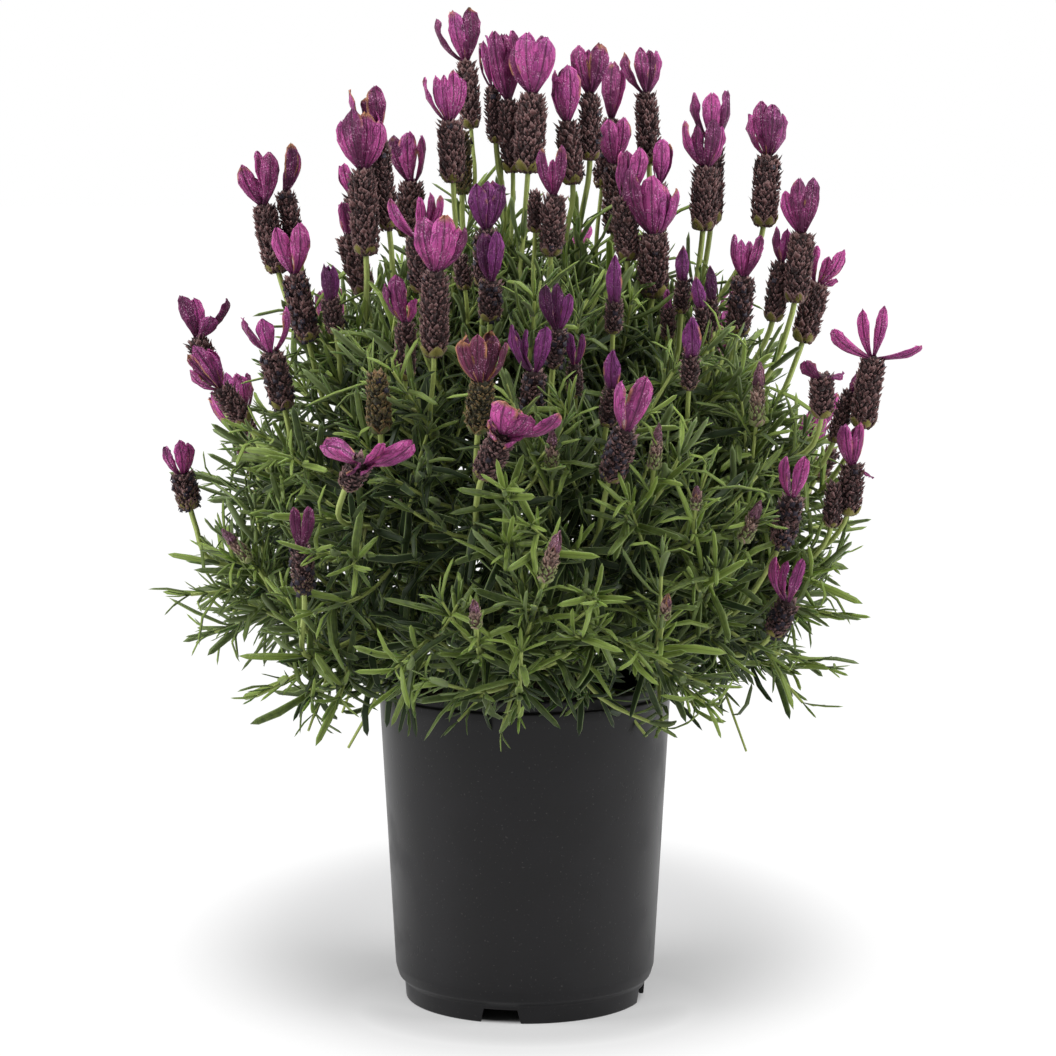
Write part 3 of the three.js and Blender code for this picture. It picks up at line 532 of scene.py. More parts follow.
# Flower heads that the photograph shows, in its pixels: a letter, the head's node, the tip of its ears, the
# top and the base of the spike, the spike's width, the width of the crown of ears, its depth in millimetres,
# where the stalk is seen lower down, and that place's own depth if it has one
shown_heads = [
    ("A", 1, (463, 8), (466, 60), (471, 127), 23, 34, 12, (475, 179)),
    ("B", 2, (448, 70), (450, 120), (453, 181), 28, 42, -15, (456, 240)),
    ("B2", 2, (462, 100), (463, 130), (462, 193), 23, 0, -5, (463, 250)),
    ("C", 3, (500, 31), (508, 98), (513, 171), 24, 34, -6, (508, 259)),
    ("D", 3, (534, 32), (533, 92), (528, 171), 33, 48, -14, (521, 259)),
    ("E", 3, (482, 34), (492, 85), (496, 142), 18, 14, -3, (504, 230)),
    ("F", 4, (565, 65), (567, 120), (573, 183), 26, 30, -4, (566, 245)),
    ("G", 4, (590, 43), (590, 92), (590, 159), 23, 44, 0, (577, 259)),
    ("H", 5, (618, 61), (612, 117), (602, 187), 22, 24, 26, (596, 250)),
    ("J", 5, (612, 117), (615, 163), (613, 232), 24, 32, 17, (610, 280)),
    ("I", 6, (646, 47), (646, 92), (649, 163), 25, 34, 34, (650, 235)),
    ("K", 7, (636, 147), (624, 196), (628, 259), 27, 36, -14, (618, 320)),
    ("L", 7, (652, 176), (654, 233), (653, 296), 34, 56, -16, (632, 370)),
    ("M", 7, (666, 139), (659, 182), (656, 240), 22, 20, -5, (650, 300)),
    ("N", 8, (703, 120), (706, 166), (703, 229), 29, 46, 0, (694, 290)),
    ("O", 8, (712, 91), (713, 140), (711, 222), 25, 42, 9, (700, 285)),
    ("P", 9, (767, 101), (768, 154), (764, 225), 29, 42, 5, (751, 252)),
    ("Q", 10, (803, 177), (803, 232), (795, 301), 28, 42, -12, (767, 376)),
    ("R", 10, (783, 226), (782, 261), (773, 320), 23, 24, -7, (749, 368)),
    ("S", 11, (834, 248), (818, 283), (803, 341), 28, 36, 10, (773, 407)),
    ("T", 12, (745, 236), (744, 276), (737, 335), 26, 36, -26, (717, 393)),
    ("U", 13, (872, 309), (873, 356), (862, 426), 29, 92, -44, (807, 501), -22),
    ("W", 13, (860, 373), (851, 390), (834, 441), 19, 12, -37, (811, 476)),
    ("V", 14, (800, 361), (822, 375), (822, 415), 27, 14, -66, (806, 452)),
    ("X", 15, (852, 422), (853, 464), (848, 513), 27, 30, -50, (814, 551), -34),
    ("AA", 15, (834, 470), (834, 482), (832, 525), 22, 0, -52, (806, 560)),
    ("AA2", 16, (838, 440), (834, 449), (816, 478), 22, 0, -8, (796, 512)),
    ("Y", 17, (795, 457), (793, 496), (780, 545), 27, 28, -86, (729, 616)),
    ("Z", 18, (790, 562), (789, 601), (773, 633), 25, 36, -80, (739, 655)),
    ("CC", 19, (691, 317), (691, 352), (689, 388), 19, 22, -76, (684, 440)),
    ("DD", 20, (710, 266), (711, 296), (713, 330), 14, 14, -40, (706, 380)),
    ("EE", 20, (696, 277), (701, 305), (706, 342), 15, 18, -43, (700, 390)),
    ("FF", 21, (683, 246), (683, 277), (681, 312), 17, 16, -36, (676, 360)),
    ("AW", 21, (667, 288), (668, 305), (668, 339), 15, 10, -37, (664, 380)),
    ("GG", 22, (615, 255), (615, 298), (613, 332), 19, 16, -62, (611, 372)),
    ("HH", 23, (613, 349), (614, 384), (607, 424), 21, 20, -96, (598, 470)),
    ("II", 24, (633, 377), (627, 430), (610, 478), 30, 34, -116, (596, 539)),
    ("KK", 25, (551, 144), (554, 194), (551, 254), 27, 38, -42, (548, 300)),
    ("AT", 25, (535, 176), (535, 190), (535, 231), 18, 0, -39, (533, 280)),
    ("AU", 26, (582, 224), (562, 256), (557, 284), 20, 34, 62, (552, 320)),
    ("LL", 27, (557, 284), (558, 329), (553, 366), 21, 33, -84, (550, 420)),
    ("MM", 27, (532, 326), (535, 371), (530, 412), 24, 42, -87, (525, 455)),
    ("NN", 28, (575, 333), (574, 364), (575, 396), 17, 18, -72, (572, 440)),
    ("OO", 29, (491, 231), (491, 280), (490, 319), 24, 30, -56, (488, 360)),
    ("PP", 29, (486, 181), (486, 228), (484, 285), 24, 37, -47, (482, 340)),
    ("QQ", 30, (438, 212), (435, 270), (434, 354), 31, 52, -84, (432, 439)),
    ("RR", 30, (410, 192), (416, 235), (421, 290), 24, 40, -76, (424, 350)),
    ("SS", 31, (395, 275), (406, 321), (405, 378), 23, 34, -70, (408, 430)),
    ("TT", 32, (483, 333), (482, 381), (478, 430), 29, 56, -106, (476, 480)),
    ("UU", 33, (377, 366), (377, 373), (380, 430), 29, 0, -94, (384, 470)),
    ("VV", 34, (536, 414), (505, 433), (483, 475), 31, 30, -126, (476, 525)),
    ("WW", 35, (366, 451), (362, 462), (347, 485), 26, 84, -124, (340, 520)),
    ("XX", 36, (301, 506), (301, 546), (304, 591), 24, 27, -106, (306, 656)),
    ("YY", 37, (174, 441), (182, 473), (190, 508), 26, 32, -30, (211, 561)),
    ("ZZ", 38, (199, 293), (195, 337), (216, 382), 25, 36, -27, (240, 440)),
    ("AB", 38, (203, 346), (219, 387), (246, 421), 25, 30, -36, (275, 480)),
    ("AC", 39, (265, 317), (271, 351), (284, 407), 28, 44, -44, (300, 470)),
    ("AD", 40, (259, 150), (263, 204), (278, 271), 28, 48, -8, (300, 330)),
    ("AE", 40, (293, 143), (284, 190), (296, 244), 22, 16, -5, (312, 310)),
    ("AF", 41, (290, 224), (294, 273), (308, 340), 28, 44, -30, (326, 405)),
    ("AG", 41, (328, 263), (330, 297), (336, 332), 22, 18, -33, (346, 400)),
    ("AH", 42, (362, 107), (362, 168), (366, 253), 31, 52, -32, (370, 360)),
    ("AI", 42, (374, 86), (377, 133), (389, 228), 24, 24, -25, (396, 300)),
    ("AJ", 43, (408, 132), (412, 181), (408, 236), 29, 38, 6, (412, 300)),
    ("AK", 44, (343, 201), (347, 234), (364, 292), 27, 16, -14, (378, 350)),
    ("AL", 44, (343, 163), (352, 193), (359, 245), 20, 16, -7, (372, 320), 8),
    ("AM", 45, (460, 247), (460, 255), (465, 288), 20, 0, -40, (468, 330)),
]

# Young closed buds: tip and base in pixels, width, depth in millimetres, and a place on the stalk
shown_buds = [
    ((760, 362), (756, 425), 19, -66, (748, 470)),
    ((659, 424), (654, 468), 15, -112, (648, 510)),
    ((552, 429), (552, 466), 16, -114, (550, 510)),
    ((560, 531), (544, 580), 20, -140, (526, 640)),
    ((222, 529), (250, 560), 17, -66, (280, 600)),
    ((761, 501), (743, 541), 18, -98, (720, 590)),
    ((697, 486), (696, 508), 13, -118, (690, 545)),
    ((668, 594), (664, 618), 13, -132, (655, 650)),
    ((474, 600), (476, 626), 14, -146, (480, 655)),
]

# Rows of heads round the back: height and reach in millimetres, first and last angle in degrees, how many,
# and whether each is a pair
back_rows = [(262, 108, -52, 52, 3, True), (216, 144, -60, 60, 2, True), (184, 154, -24, 22, 2, False)]


def photo_point(place, depth):
    """The point that a pixel of the photograph shows, at a depth y in metres."""
    across = (place[0] - frame_centre) / focal
    above = (frame_centre - place[1]) / focal
    forwards = math.cos(pitch) + above * math.sin(pitch)
    ray = Vector((across, forwards, above * math.cos(pitch) - math.sin(pitch)))
    return eye + ray * ((depth - eye.y) / ray.y)


class Head:
    """One flower head: where its spike starts and ends, its sizes, and its stalk."""

    def __init__(self, name, node, base, top, tip, stalk, radius, crown, depth):
        self.name, self.node = name, node
        self.base, self.top, self.tip, self.stalk = base, top, tip, stalk
        self.radius, self.crown, self.depth = radius, crown, depth
        self.axis = (top - base).normalized()

    def outward(self, way):
        """The direction nearest to a way that is square to the spike."""
        return (way - self.axis * way.dot(self.axis)).normalized()


def photographed_head(name, node, tip, top, base, width, crown, deep, stalk, stalk_deep=None):
    depth = deep * MM
    lean = depth * 0.1
    size = pixel * (1 + depth / -eye.y)
    stalk_depth = depth * 0.82 if stalk_deep is None else stalk_deep * MM
    return Head(
        name, node, photo_point(base, depth), photo_point(top, depth + lean),
        photo_point(tip, depth + 1.5 * lean), photo_point(stalk, stalk_depth),
        width * size / 2, crown * size, depth,
    )


def back_heads(node):
    """The guessed heads round the back, numbered from a node on."""
    made = []
    for row, (height, reach, start, stop, count, pairs) in enumerate(back_rows):
        for i in range(count):
            angle = math.radians(90 + start + (stop - start) * i / (count - 1))
            for side in (-1, 1) if pairs else (0,):
                out = towards(angle + side * 0.035)
                rise = (i % 2) * 10 + abs(side) * 4 * (side + 1)
                base = out * (reach * MM) + Vector((0, 0, (height + rise) * MM))
                lean = (out * (0.32 + 0.1 * row) + Vector((0, 0, 1))).normalized()
                lean.x += side * 0.16
                top = base + lean * ((27 - row * 2) * MM)
                stalk = base - lean * (26 * MM) - out * ((10 + 6 * row) * MM)
                made.append(Head(f"back{len(made)}", node, base, top, top + lean * (21 * MM), stalk,
                                 5.9 * MM, 17 * MM, base.y))
            node += 1
    return made


heads = [photographed_head(*row) for row in shown_heads]
heads += back_heads(heads[-1].node + 1)


class Path:
    """A centripetal Catmull-Rom curve through a few points, measured along its length."""

    def __init__(self, points, samples=64):
        points = [np.array(p, float) for p in points]
        ends = [2 * points[0] - points[1], *points, 2 * points[-1] - points[-2]]
        count = max(4, samples // (len(points) - 1))
        spans = [self.span(ends[i:i + 4], np.arange(count) / count) for i in range(len(points) - 1)]
        self.samples = np.vstack([*spans, points[-1][None]])
        steps = np.linalg.norm(np.diff(self.samples, axis=0), axis=1)
        self.marks = np.concatenate([[0], np.cumsum(steps)])
        self.length = self.marks[-1]

    @staticmethod
    def span(four, t):
        before, start, end, after = four
        gaps = [np.sum((b - a) ** 2) ** 0.25 for a, b in zip(four, four[1:])]
        middle = gaps[1] if gaps[1] > 1e-4 else 1.0
        first, last = [gap if gap > 1e-4 else middle for gap in (gaps[0], gaps[2])]
        step = (end - start) / middle
        leave = ((start - before) / first - (end - before) / (first + middle) + step) * middle
        arrive = (step - (after - start) / (middle + last) + (after - end) / last) * middle
        square = -3 * start + 3 * end - 2 * leave - arrive
        cube = 2 * start - 2 * end + leave + arrive
        t = t[:, None]
        return start + leave * t + square * t ** 2 + cube * t ** 3

    def at(self, share):
        mark = share * self.length
        return Vector([np.interp(mark, self.marks, self.samples[:, k]) for k in range(3)])

    def direction(self, share):
        low, high = max(0.0, share - 0.01), min(1.0, share + 0.01)
        return (self.at(high) - self.at(low)).normalized()


def limb_path(index, side):
    middle = -math.pi / 2 + index / branch_count * full_turn
    out, aside = towards(middle), towards(middle + side * limb_spread)
    places = [
        (out, stem_circle, soil_crown - stem_depth + 2 * MM),
        (out, stem_circle, soil_crown + 4 * MM),
        (aside, stem_circle + 5 * MM, 28 * MM),
        (aside, stem_circle + 20 * MM, 66 * MM),
        (aside, stem_circle + 32 * MM, 112 * MM),
    ]
    return Path([way * reach + Vector((0, 0, soil_top + rise)) for way, reach, rise in places])


limbs = {(index, side): limb_path(index, side) for index in range(branch_count) for side in (-1, 1)}


def carrier_of(point):
    """The branch and the side of it that carry a point: the nearest direction round the pot's axis."""
    turns = (math.atan2(point.y, point.x) + math.pi / 2) / full_turn * branch_count
    index = math.floor(turns + 0.5)
    return index % branch_count, (1 if turns - index >= 0 else -1)


def clamp(value, low=0.0, high=1.0):
    return max(low, min(high, value))


def stem_path(limb, through, end, arrival):
    """A stalk from its fork on the limb through a point to its end, where it runs as arrival does."""
    share = clamp((through.z - soil_top - 26 * MM) / (240 * MM))
    fork = limb.at(0.36 + 0.6 * share)
    middle = fork.lerp(through, 0.5)
    sag = clamp(((through - fork).length - 40 * MM) / (100 * MM))
    middle.z = max(middle.z + 16 * MM * sag, pot_height + 10 * MM)
    arrival = (arrival + (end - through).normalized()).normalized()
    return Path([fork, middle, through, end - arrival * (9 * MM), end])


def dome_ends():
    """Points on the outside of the bush, evenly spread, where leafy shoots without flowers end."""
    ends = []
    for i in range(dome_count):
        height = 0.93 - 1.42 * (i + 0.5) / dome_count
        out = math.sqrt(max(0.0, 1 - height * height))
        radius = dome_radius * (1.02 if height < 0 else 1)
        end = dome_centre + Vector(on_circle(out, i * golden_turn, height)) * radius
        end.z = max(end.z, pot_height + 6 * MM)
        ends.append(end)
    return ends


def skirt_ends():
    """Points just over the pot's rim all round, where short leafy shoots end."""
    ends = []
    for i in range(skirt_count):
        reach, rise = (62 + 16 * (i % 3)) * MM, (8 + 8 * (i % 2)) * MM
        ends.append(Vector(on_circle(reach, full_turn * (i + 0.3) / skirt_count, pot_height + rise)))
    return ends


head_starts = np.array([head.base for head in heads])
head_spans = np.array([head.tip for head in heads]) - head_starts
head_room = np.array([max(head.radius, head.crown * 0.4) for head in heads])


def clear_of_heads(points, room):
    """Whether points stay more than room outside every spike and its ears."""
    for point in points:
        away = np.array(point) - head_starts
        share = np.clip((away * head_spans).sum(1) / (head_spans ** 2).sum(1), 0, 1)
        gap = np.linalg.norm(away - head_spans * share[:, None], axis=1)
        if (gap < head_room + room).any():
            return False
    return True


def clear_of_pot(point, room):
    out = math.hypot(point.x, point.y)
    if point.z - room > pot_height + 1 * MM:
        return True
    return out - room > shoulder_radius or (out + room < lip_radius - 3 * MM and point.z - room > soil_top)


def leafy_path(wanted):
    """The path to a point on the bush's outside that passes clear of every head, turned or shortened."""
    for turn, share in ((0, 1), (0.09, 1), (-0.09, 1), (0.16, 0.95), (-0.16, 0.95), (0, 0.85)):
        away = (wanted - dome_centre) * share
        end = dome_centre + Vector((away.x * math.cos(turn) - away.y * math.sin(turn),
                                    away.x * math.sin(turn) + away.y * math.cos(turn), away.z))
        end.z = max(end.z, pot_height + 6 * MM)
        inward = end.lerp(dome_centre, 0.3)
        carrier = carrier_of(end)
        path = stem_path(limbs[carrier], inward, end, (end - inward).normalized())
        outer = [path.at(i / 24) for i in range(8, 25)]
        if clear_of_heads(outer, 2.4 * MM) and all(clear_of_pot(p, 2 * MM) for p in outer):
            return carrier[0], path
    return None


class Stalk:
    """A stalk: its branch, its path, its radius at both ends, and the stretch that has leaves.

    spacing is the distance between its points, and woody says how woody its foot is.
    """

    def __init__(self, branch, path, radius, end_radius, leaf_from, leaf_to, spacing=6 * MM, woody=0.8):
        self.branch, self.path, self.radius, self.end_radius = branch, path, radius, end_radius
        self.leaf_from, self.leaf_to, self.spacing, self.woody = leaf_from, leaf_to, spacing, woody


shoot_spacing = 9 * MM
stalks = []
for head in heads:
    carrier = carrier_of(head.stalk)
    path = stem_path(limbs[carrier], head.stalk, head.base + head.axis * (1 * MM), head.axis)
    bare = clamp(34 * MM / path.length, 0.1, 0.35)
    stalks.append(Stalk(carrier[0], path, stalk_thickness * 1.1, stalk_thickness, 0.25, 1 - bare))
buds = []
for tip, base, width, deep, stalk in shown_buds:
    depth = deep * MM
    foot, point = photo_point(base, depth), photo_point(tip, depth * 1.06)
    carrier = carrier_of(foot)
    path = stem_path(limbs[carrier], photo_point(stalk, depth * 0.84), foot, (point - foot).normalized())
    stalks.append(Stalk(carrier[0], path, stalk_thickness, stalk_thickness * 0.8, 0.25, 0.98))
    buds.append((foot, point, width * pixel / 2))
for wanted in dome_ends() + skirt_ends():
    found = leafy_path(wanted)
    if found:
        stalks.append(Stalk(*found, stalk_thickness, 0.7 * MM, 0.25, 1.0, shoot_spacing))


def side_shoot(stalk, share, turn, length, draw):
    """A short leafy shoot that leaves a stalk at an angle and bends upwards, or None where it has no room."""
    start, along = stalk.path.at(share), stalk.path.direction(share)
    square = along.orthogonal().normalized()
    out = (square * math.cos(turn) + along.cross(square) * math.sin(turn)).normalized()
    first = (along * 0.75 + out * 0.85).normalized()
    second = (first * 1.2 + Vector((0, 0, 0.5)) + out * draw.uniform(-0.1, 0.3)).normalized()
    points = [start, start + first * length * 0.4, start + first * length * 0.4 + second * length * 0.6]
    tip = points[-1] + second * 12 * MM
    in_bush = (tip - dome_centre).length < dome_radius * 1.04
    if not in_bush or not all(clear_of_pot(point, 4 * MM) for point in points[1:]):
        return None
    if not clear_of_heads([*points[1:], tip], 3 * MM):
        return None
    return Stalk(stalk.branch, Path(points, 16), 0.9 * MM, 0.6 * MM, 0.2, 1.0, shoot_spacing)


def side_shoots():
    """Side shoots along every stalk, in the golden angle round it."""
    draw = random.Random(21)
    shoots = []
    for stalk in stalks:
        count = 3 if stalk.leaf_to < 1 else 4
        turn = draw.uniform(0, 6.28)
        for i in range(count):
            share = stalk.leaf_from + (stalk.leaf_to - stalk.leaf_from) * (0.42 + 0.5 * i / count)
            for attempt in range(4):
                turn += golden_turn
                shoot = side_shoot(stalk, share, turn, draw.uniform(30, 58) * MM, draw)
                if shoot:
                    shoots.append(shoot)
                    break
    return shoots


stalks += side_shoots()


def stem_lines(name, branch):
    """The limbs and stalks of one branch as chains of edges, with what the trees read at each point."""
    points, edges, thickness, wood, leafy, along = [], [], [], [], [], []
    members = [Stalk(branch, limbs[branch, side], stem_radius, stem_radius * 0.45, 0.34, 1, 7 * MM, 2.5)
               for side in (-1, 1)]
    for stalk in members + [stalk for stalk in stalks if stalk.branch == branch]:
        count = max(3, math.ceil(stalk.path.length / stalk.spacing))
        for i in range(count + 1):
            share = i / count
            if i:
                edges.append((len(points) - 1, len(points)))
            points.append(stalk.path.at(share))
            thickness.append(stalk.radius + (stalk.end_radius - stalk.radius) * share)
            wood.append(stalk.woody * (1 - share) ** 2)
            leafy.append(1.0 if stalk.leaf_from <= share <= stalk.leaf_to else 0.0)
            along.append(share)
    mesh = new_mesh(name, points, edges=edges, thickness=thickness, wood=wood, leafy=leafy, along=along)
    return in_scene(mesh)


def stalk_skin():
    """Green stalks, grey and woody at their foot, with pale ridges and fine hairs in the bump."""
    graph = new_material("green_stalk", Roughness=0.55, Sheen_Weight=0.1, Sheen_Roughness=0.5)
    wood = graph.between(graph.attribute("wood"), 0.3, 1.1)
    fibre = graph.noise(graph.vector("MULTIPLY", graph.place, (1, 1, 0.12)), 2600, 3)
    green = graph.blend(fibre, (0.21, 0.27, 0.045), (0.46, 0.54, 0.16))
    bark = graph.blend(fibre, (0.06, 0.04, 0.025), (0.2, 0.14, 0.09))
    return graph.skin(graph.blend(wood, green, bark), fibre, 0.4, 0.2 * MM)


# The leaves
# Narrow grey-green leaves with rolled pale margins and a paler underside. They stand in opposite pairs,
# each pair square to the last, with a tuft of small ones in their axils, and grow out of the stalks.

leaf_length = 29 * MM
leaf_width = 3.4 * MM
thickness_share = 0.022
pair_spacing = 8 * MM
tuft_share = 0.62

# A leaf's outline is its half width at shares of its length. Its section is the upper face across it, as
# side, lift and place on the UV map. Each pair of a bend and a twist is one shape of leaf
leaf_outline = [(0.0, 0.34), (0.2, 0.78), (0.56, 1.0), (0.88, 0.8)]
leaf_section = [(-1.0, -0.010, 0.0), (-0.55, 0.016, 0.25), (0.0, 0.0, 0.5), (0.55, 0.016, 0.75),
                (1.0, -0.010, 1.0)]
leaf_bends = [(0.3, 0.2), (0.9, -0.3), (1.4, 0.4), (-0.6, 0.3), (1.9, -0.5), (0.6, 0.7)]
small_outline = [(0.0, 0.4), (0.45, 1.0), (0.86, 0.75)]
small_section = [(-1.0, 0.008, 0.0), (0.0, -0.006, 0.5), (1.0, 0.008, 1.0)]
small_bends = [(0.3, 0.3), (0.9, -0.3), (-0.5, 0.4)]


def leaf_skin():
    """Felted grey-green, paler along the rolled rims, darker along the midrib and pale underneath. The tone
    of each leaf carries painted shade deep in the bush and a painted highlight on its outside.
    """
    graph = new_material(
        "leaf", Roughness=0.5, Specular_IOR_Level=0.28, Sheen_Weight=0.08, Sheen_Roughness=0.45,
        Subsurface_Weight=0.12, Subsurface_Radius=(0.6 * MM, 1.2 * MM, 0.3 * MM), Subsurface_Scale=1.0,
    )
    across, along, _ = graph.split(graph.add("ShaderNodeUVMap", uv_map="leaf_map"))
    mottle = graph.noise(graph.place, 420, 3) * 0.5
    # the shade number holds a random tone, paler young leaves, and painted shade and highlight by depth in
    # the bush
    tone = graph.attribute("shade") * 0.75 + mottle
    colour = graph.blend(graph.between(tone, 0.2, 1.1), (0.011, 0.026, 0.003), (0.18, 0.25, 0.043))
    off_centre = graph.math("ABSOLUTE", across - 0.5)
    colour = graph.blend(graph.between(off_centre, 0.38, 0.48) * 0.6, colour, (0.28, 0.36, 0.12))
    colour = graph.blend(graph.between(off_centre, 0.08, 0.0) * 0.4, colour, (0.015, 0.032, 0.004))
    colour = graph.blend(graph.between(along, 0.3, 0.0) * 0.4, colour, (0.22, 0.31, 0.05))
    colour = graph.blend(graph.between(across, 1.5, 1.6), colour, (0.13, 0.175, 0.06))
    return graph.skin(colour, graph.noise(graph.place, 3200, 2), 0.35, 0.12 * MM)


def leaf_shape(name, arch, twist, outline, section):
    """A unit leaf along +Z with its upper face towards -X. It bends outwards by arch and turns by twist."""
    width = leaf_width / leaf_length / 2
    points, rows = [], []
    centre, angle, last = Vector((0, 0, 0)), -arch * 0.25, 0.0
    for v, size in outline:
        angle += arch * (v - last)
        centre = centre + Vector((math.sin(angle), 0, math.cos(angle))) * (v - last)
        last = v
        upper = Vector((-math.cos(angle), 0, math.sin(angle)))
        side = Vector((0, math.cos(twist * v), 0)) + upper * math.sin(twist * v)
        upper = upper * math.cos(twist * v) - Vector((0, math.sin(twist * v), 0))
        rows.append((v, range(len(points), len(points) + len(section) + 1)))
        for across, lift, _ in section:
            points.append(centre + side * (across * width * size) + upper * (lift * size))
        points.append(centre - upper * (thickness_share * size + 0.006))
    tip_angle = angle + arch * (1 - last)
    tip = len(points)
    points.append(centre + Vector((math.sin(tip_angle), 0, math.cos(tip_angle))) * (1 - last))
    marks = [mark for _, _, mark in section]
    right, under = len(section) - 1, len(section)
    faces, corners = [], []
    for (low_v, low), (high_v, high) in zip(rows, rows[1:]):
        for k in range(right):
            faces.append((low[k], high[k], high[k + 1], low[k + 1]))
            corners += [(marks[k], low_v), (marks[k], high_v), (marks[k + 1], high_v), (marks[k + 1], low_v)]
        for a, b, mark in ((right, under, 3), (under, 0, 2)):
            faces.append((low[a], high[a], high[b], low[b]))
            corners += [(mark, low_v), (mark, high_v), (2.5, high_v), (2.5, low_v)]
    end_v, end = rows[-1]
    for k in range(right):
        faces.append((end[k], tip, end[k + 1]))
        corners += [(marks[k], end_v), ((marks[k] + marks[k + 1]) / 2, 1), (marks[k + 1], end_v)]
    for a, b in ((right, under), (under, 0)):
        faces.append((end[a], tip, end[b]))
        corners += [(2.5, end_v), (2.5, 1), (2.5, end_v)]
    faces.append(tuple(rows[0][1]))
    corners += [(2.5, 0)] * (len(section) + 1)
    return new_mesh(name, points, faces, uv=("leaf_map", corners))


def shape_collection(name, meshes):
    """Shapes to be placed many times, kept in a collection that isn't part of the scene."""
    group = bpy.data.collections.new(name)
    for mesh in meshes:
        group.objects.link(bpy.data.objects.new(mesh.name, mesh))
    return group


def drop_collection(group):
    for member in list(group.objects):
        bpy.data.objects.remove(member)
    bpy.data.collections.remove(group)


def leafy_tree(stalk_material, leaf_material):
    """Stalks as ridged tubes along the lines, and leaves in pairs and tufts along their leafy stretches."""
    tree = Tree(
        "leafy stalks", Spacing=pair_spacing, Length=leaf_length, Tuft=3, Seed=1, Leaves="Collection",
        Heads="Object", Room=6.5 * MM, Rim=shoulder_radius + 2 * MM, Rim_height=pot_height + 3 * MM,
        Soil_height=soil_top + soil_crown + 5 * MM, Lowest=pot_height - 16 * MM, Hanging=0.5,
        Centre=tuple(dome_centre),
    )
    given, seed = tree.given, tree.given["Seed"]
    line = tree.add("GeometryNodeMeshToCurve", {"Mesh": given["Geometry"]})
    tubes = tree.painted(tree.tube(line, 4, 1.12, tree.named("thickness")), stalk_material)

    # a place every spacing along the leafy stretches, with the stalk's direction as its turn
    links = {"Curve": line, "Length": given["Spacing"]}
    marks = tree.outputs("GeometryNodeCurveToPoints", links, mode="LENGTH")
    index = tree.add("GeometryNodeInputIndex")
    places = tree.stored(marks["Points"], "turn", marks["Rotation"], "QUATERNION", "POINT")
    places = tree.stored(places, "place", index, "INT", "POINT")
    links = {"Geometry": places, "Selection": tree.named("leafy") < 0.5}
    places = tree.add("GeometryNodeDeleteGeometry", links, domain="POINT")
    links = {"Geometry": places, "Amount": given["Tuft"] + 2}
    copies = tree.outputs("GeometryNodeDuplicateElements", links, domain="POINT")
    leaves = tree.stored(copies["Geometry"], "copy", copies["Duplicate Index"], "INT", "POINT")

    # the pair stands opposite, square to the last pair; the tuft stands closer to the stalk and is small
    place, copy, along = tree.named("place", "INT"), tree.named("copy", "INT"), tree.named("along")
    in_tuft = copy > 1.5
    smaller = tree.between(in_tuft, 0, 1, 1.0, tuft_share)
    round_stalk = place * (math.pi / 2) + copy * math.pi + tree.random(-0.45, 0.45, seed)
    round_stalk = round_stalk + in_tuft * tree.random(-0.9, 0.9, seed + 9)
    lean = tree.between(tree.between(along, 0.55, 1.0), 0, 1, math.radians(54), math.radians(27))
    lean = (lean + tree.random(-0.28, 0.3, seed + 1)) * smaller
    local = tree.add("FunctionNodeEulerToRotation", {0: tree.point(0.0, lean, round_stalk)})
    links = {"Rotation": tree.named("turn", "QUATERNION"), "Rotate By": local}
    turn = tree.add("FunctionNodeRotateRotation", links, rotation_space="LOCAL")
    size = tree.random(0.72, 1.1, seed + 2) * smaller * tree.between(along, 0.82, 1.0, 1.0, 0.62)
    size = size * given["Length"]

    # a leaf that would cut the pot's rim or a flower head is left out, and so are some that hang over the rim
    reach = tree.add("FunctionNodeRotateVector", {"Vector": tree.point(z=size), "Rotation": turn})
    position = tree.add("GeometryNodeInputPosition")
    tip = tree.vector("ADD", position, reach)
    half_way = {0: reach, 1: (0.5, 0.5, 0.5), 2: position}
    middle = tree.add("ShaderNodeVectorMath", half_way, operation="MULTIPLY_ADD")
    x, y, z = tree.split(tip)
    out = tree.math("SQRT", x * x + y * y)
    low = z < given["Rim_height"]
    over_soil = (out < given["Rim"] - 9 * MM) * (z > given["Soil_height"])
    at_wall = low * ((out < given["Rim"]) - over_soil)
    hanging = low * (tree.random(0.0, 1.0, seed + 6) > given["Hanging"])
    blocked = tree.most(at_wall, z < given["Lowest"], hanging)
    lines = tree.shape(given["Heads"])
    for spot in (tip, middle):
        links = {"Geometry": lines, "Sample Position": spot}
        gap = tree.add("GeometryNodeProximity", links, "Distance", target_element="EDGES")
        blocked = tree.most(blocked, gap < given["Room"])
    pick_long, pick_small = tree.random(0, 5, seed + 3), tree.random(6, 8, seed + 3)
    pick = in_tuft * (pick_small - pick_long) + pick_long
    leaves = tree.placed(leaves, tree.members(given["Leaves"]), turn, size, Selection=blocked < 0.5,
                         Pick_Instance=True, Instance_Index=pick)

    # young leaves are paler; leaves deep inside the bush are darkened as painted shade, and those on its
    # outside are lightened as a painted highlight
    from_centre = tree.vector("DISTANCE", position, given["Centre"], "Value")
    shade = tree.random(0.0, 0.75, seed + 4) + tree.between(along, 0.45, 1.0, 0.0, 0.3)
    # painted shade and painted highlight by distance from the bush's centre
    shade = shade + tree.between(from_centre, 85 * MM, 155 * MM, -0.72, 0.56)
    leaves = tree.realized(tree.stored(leaves, "shade", shade))
    return tree.end(tree.painted(leaves, leaf_material), tubes)


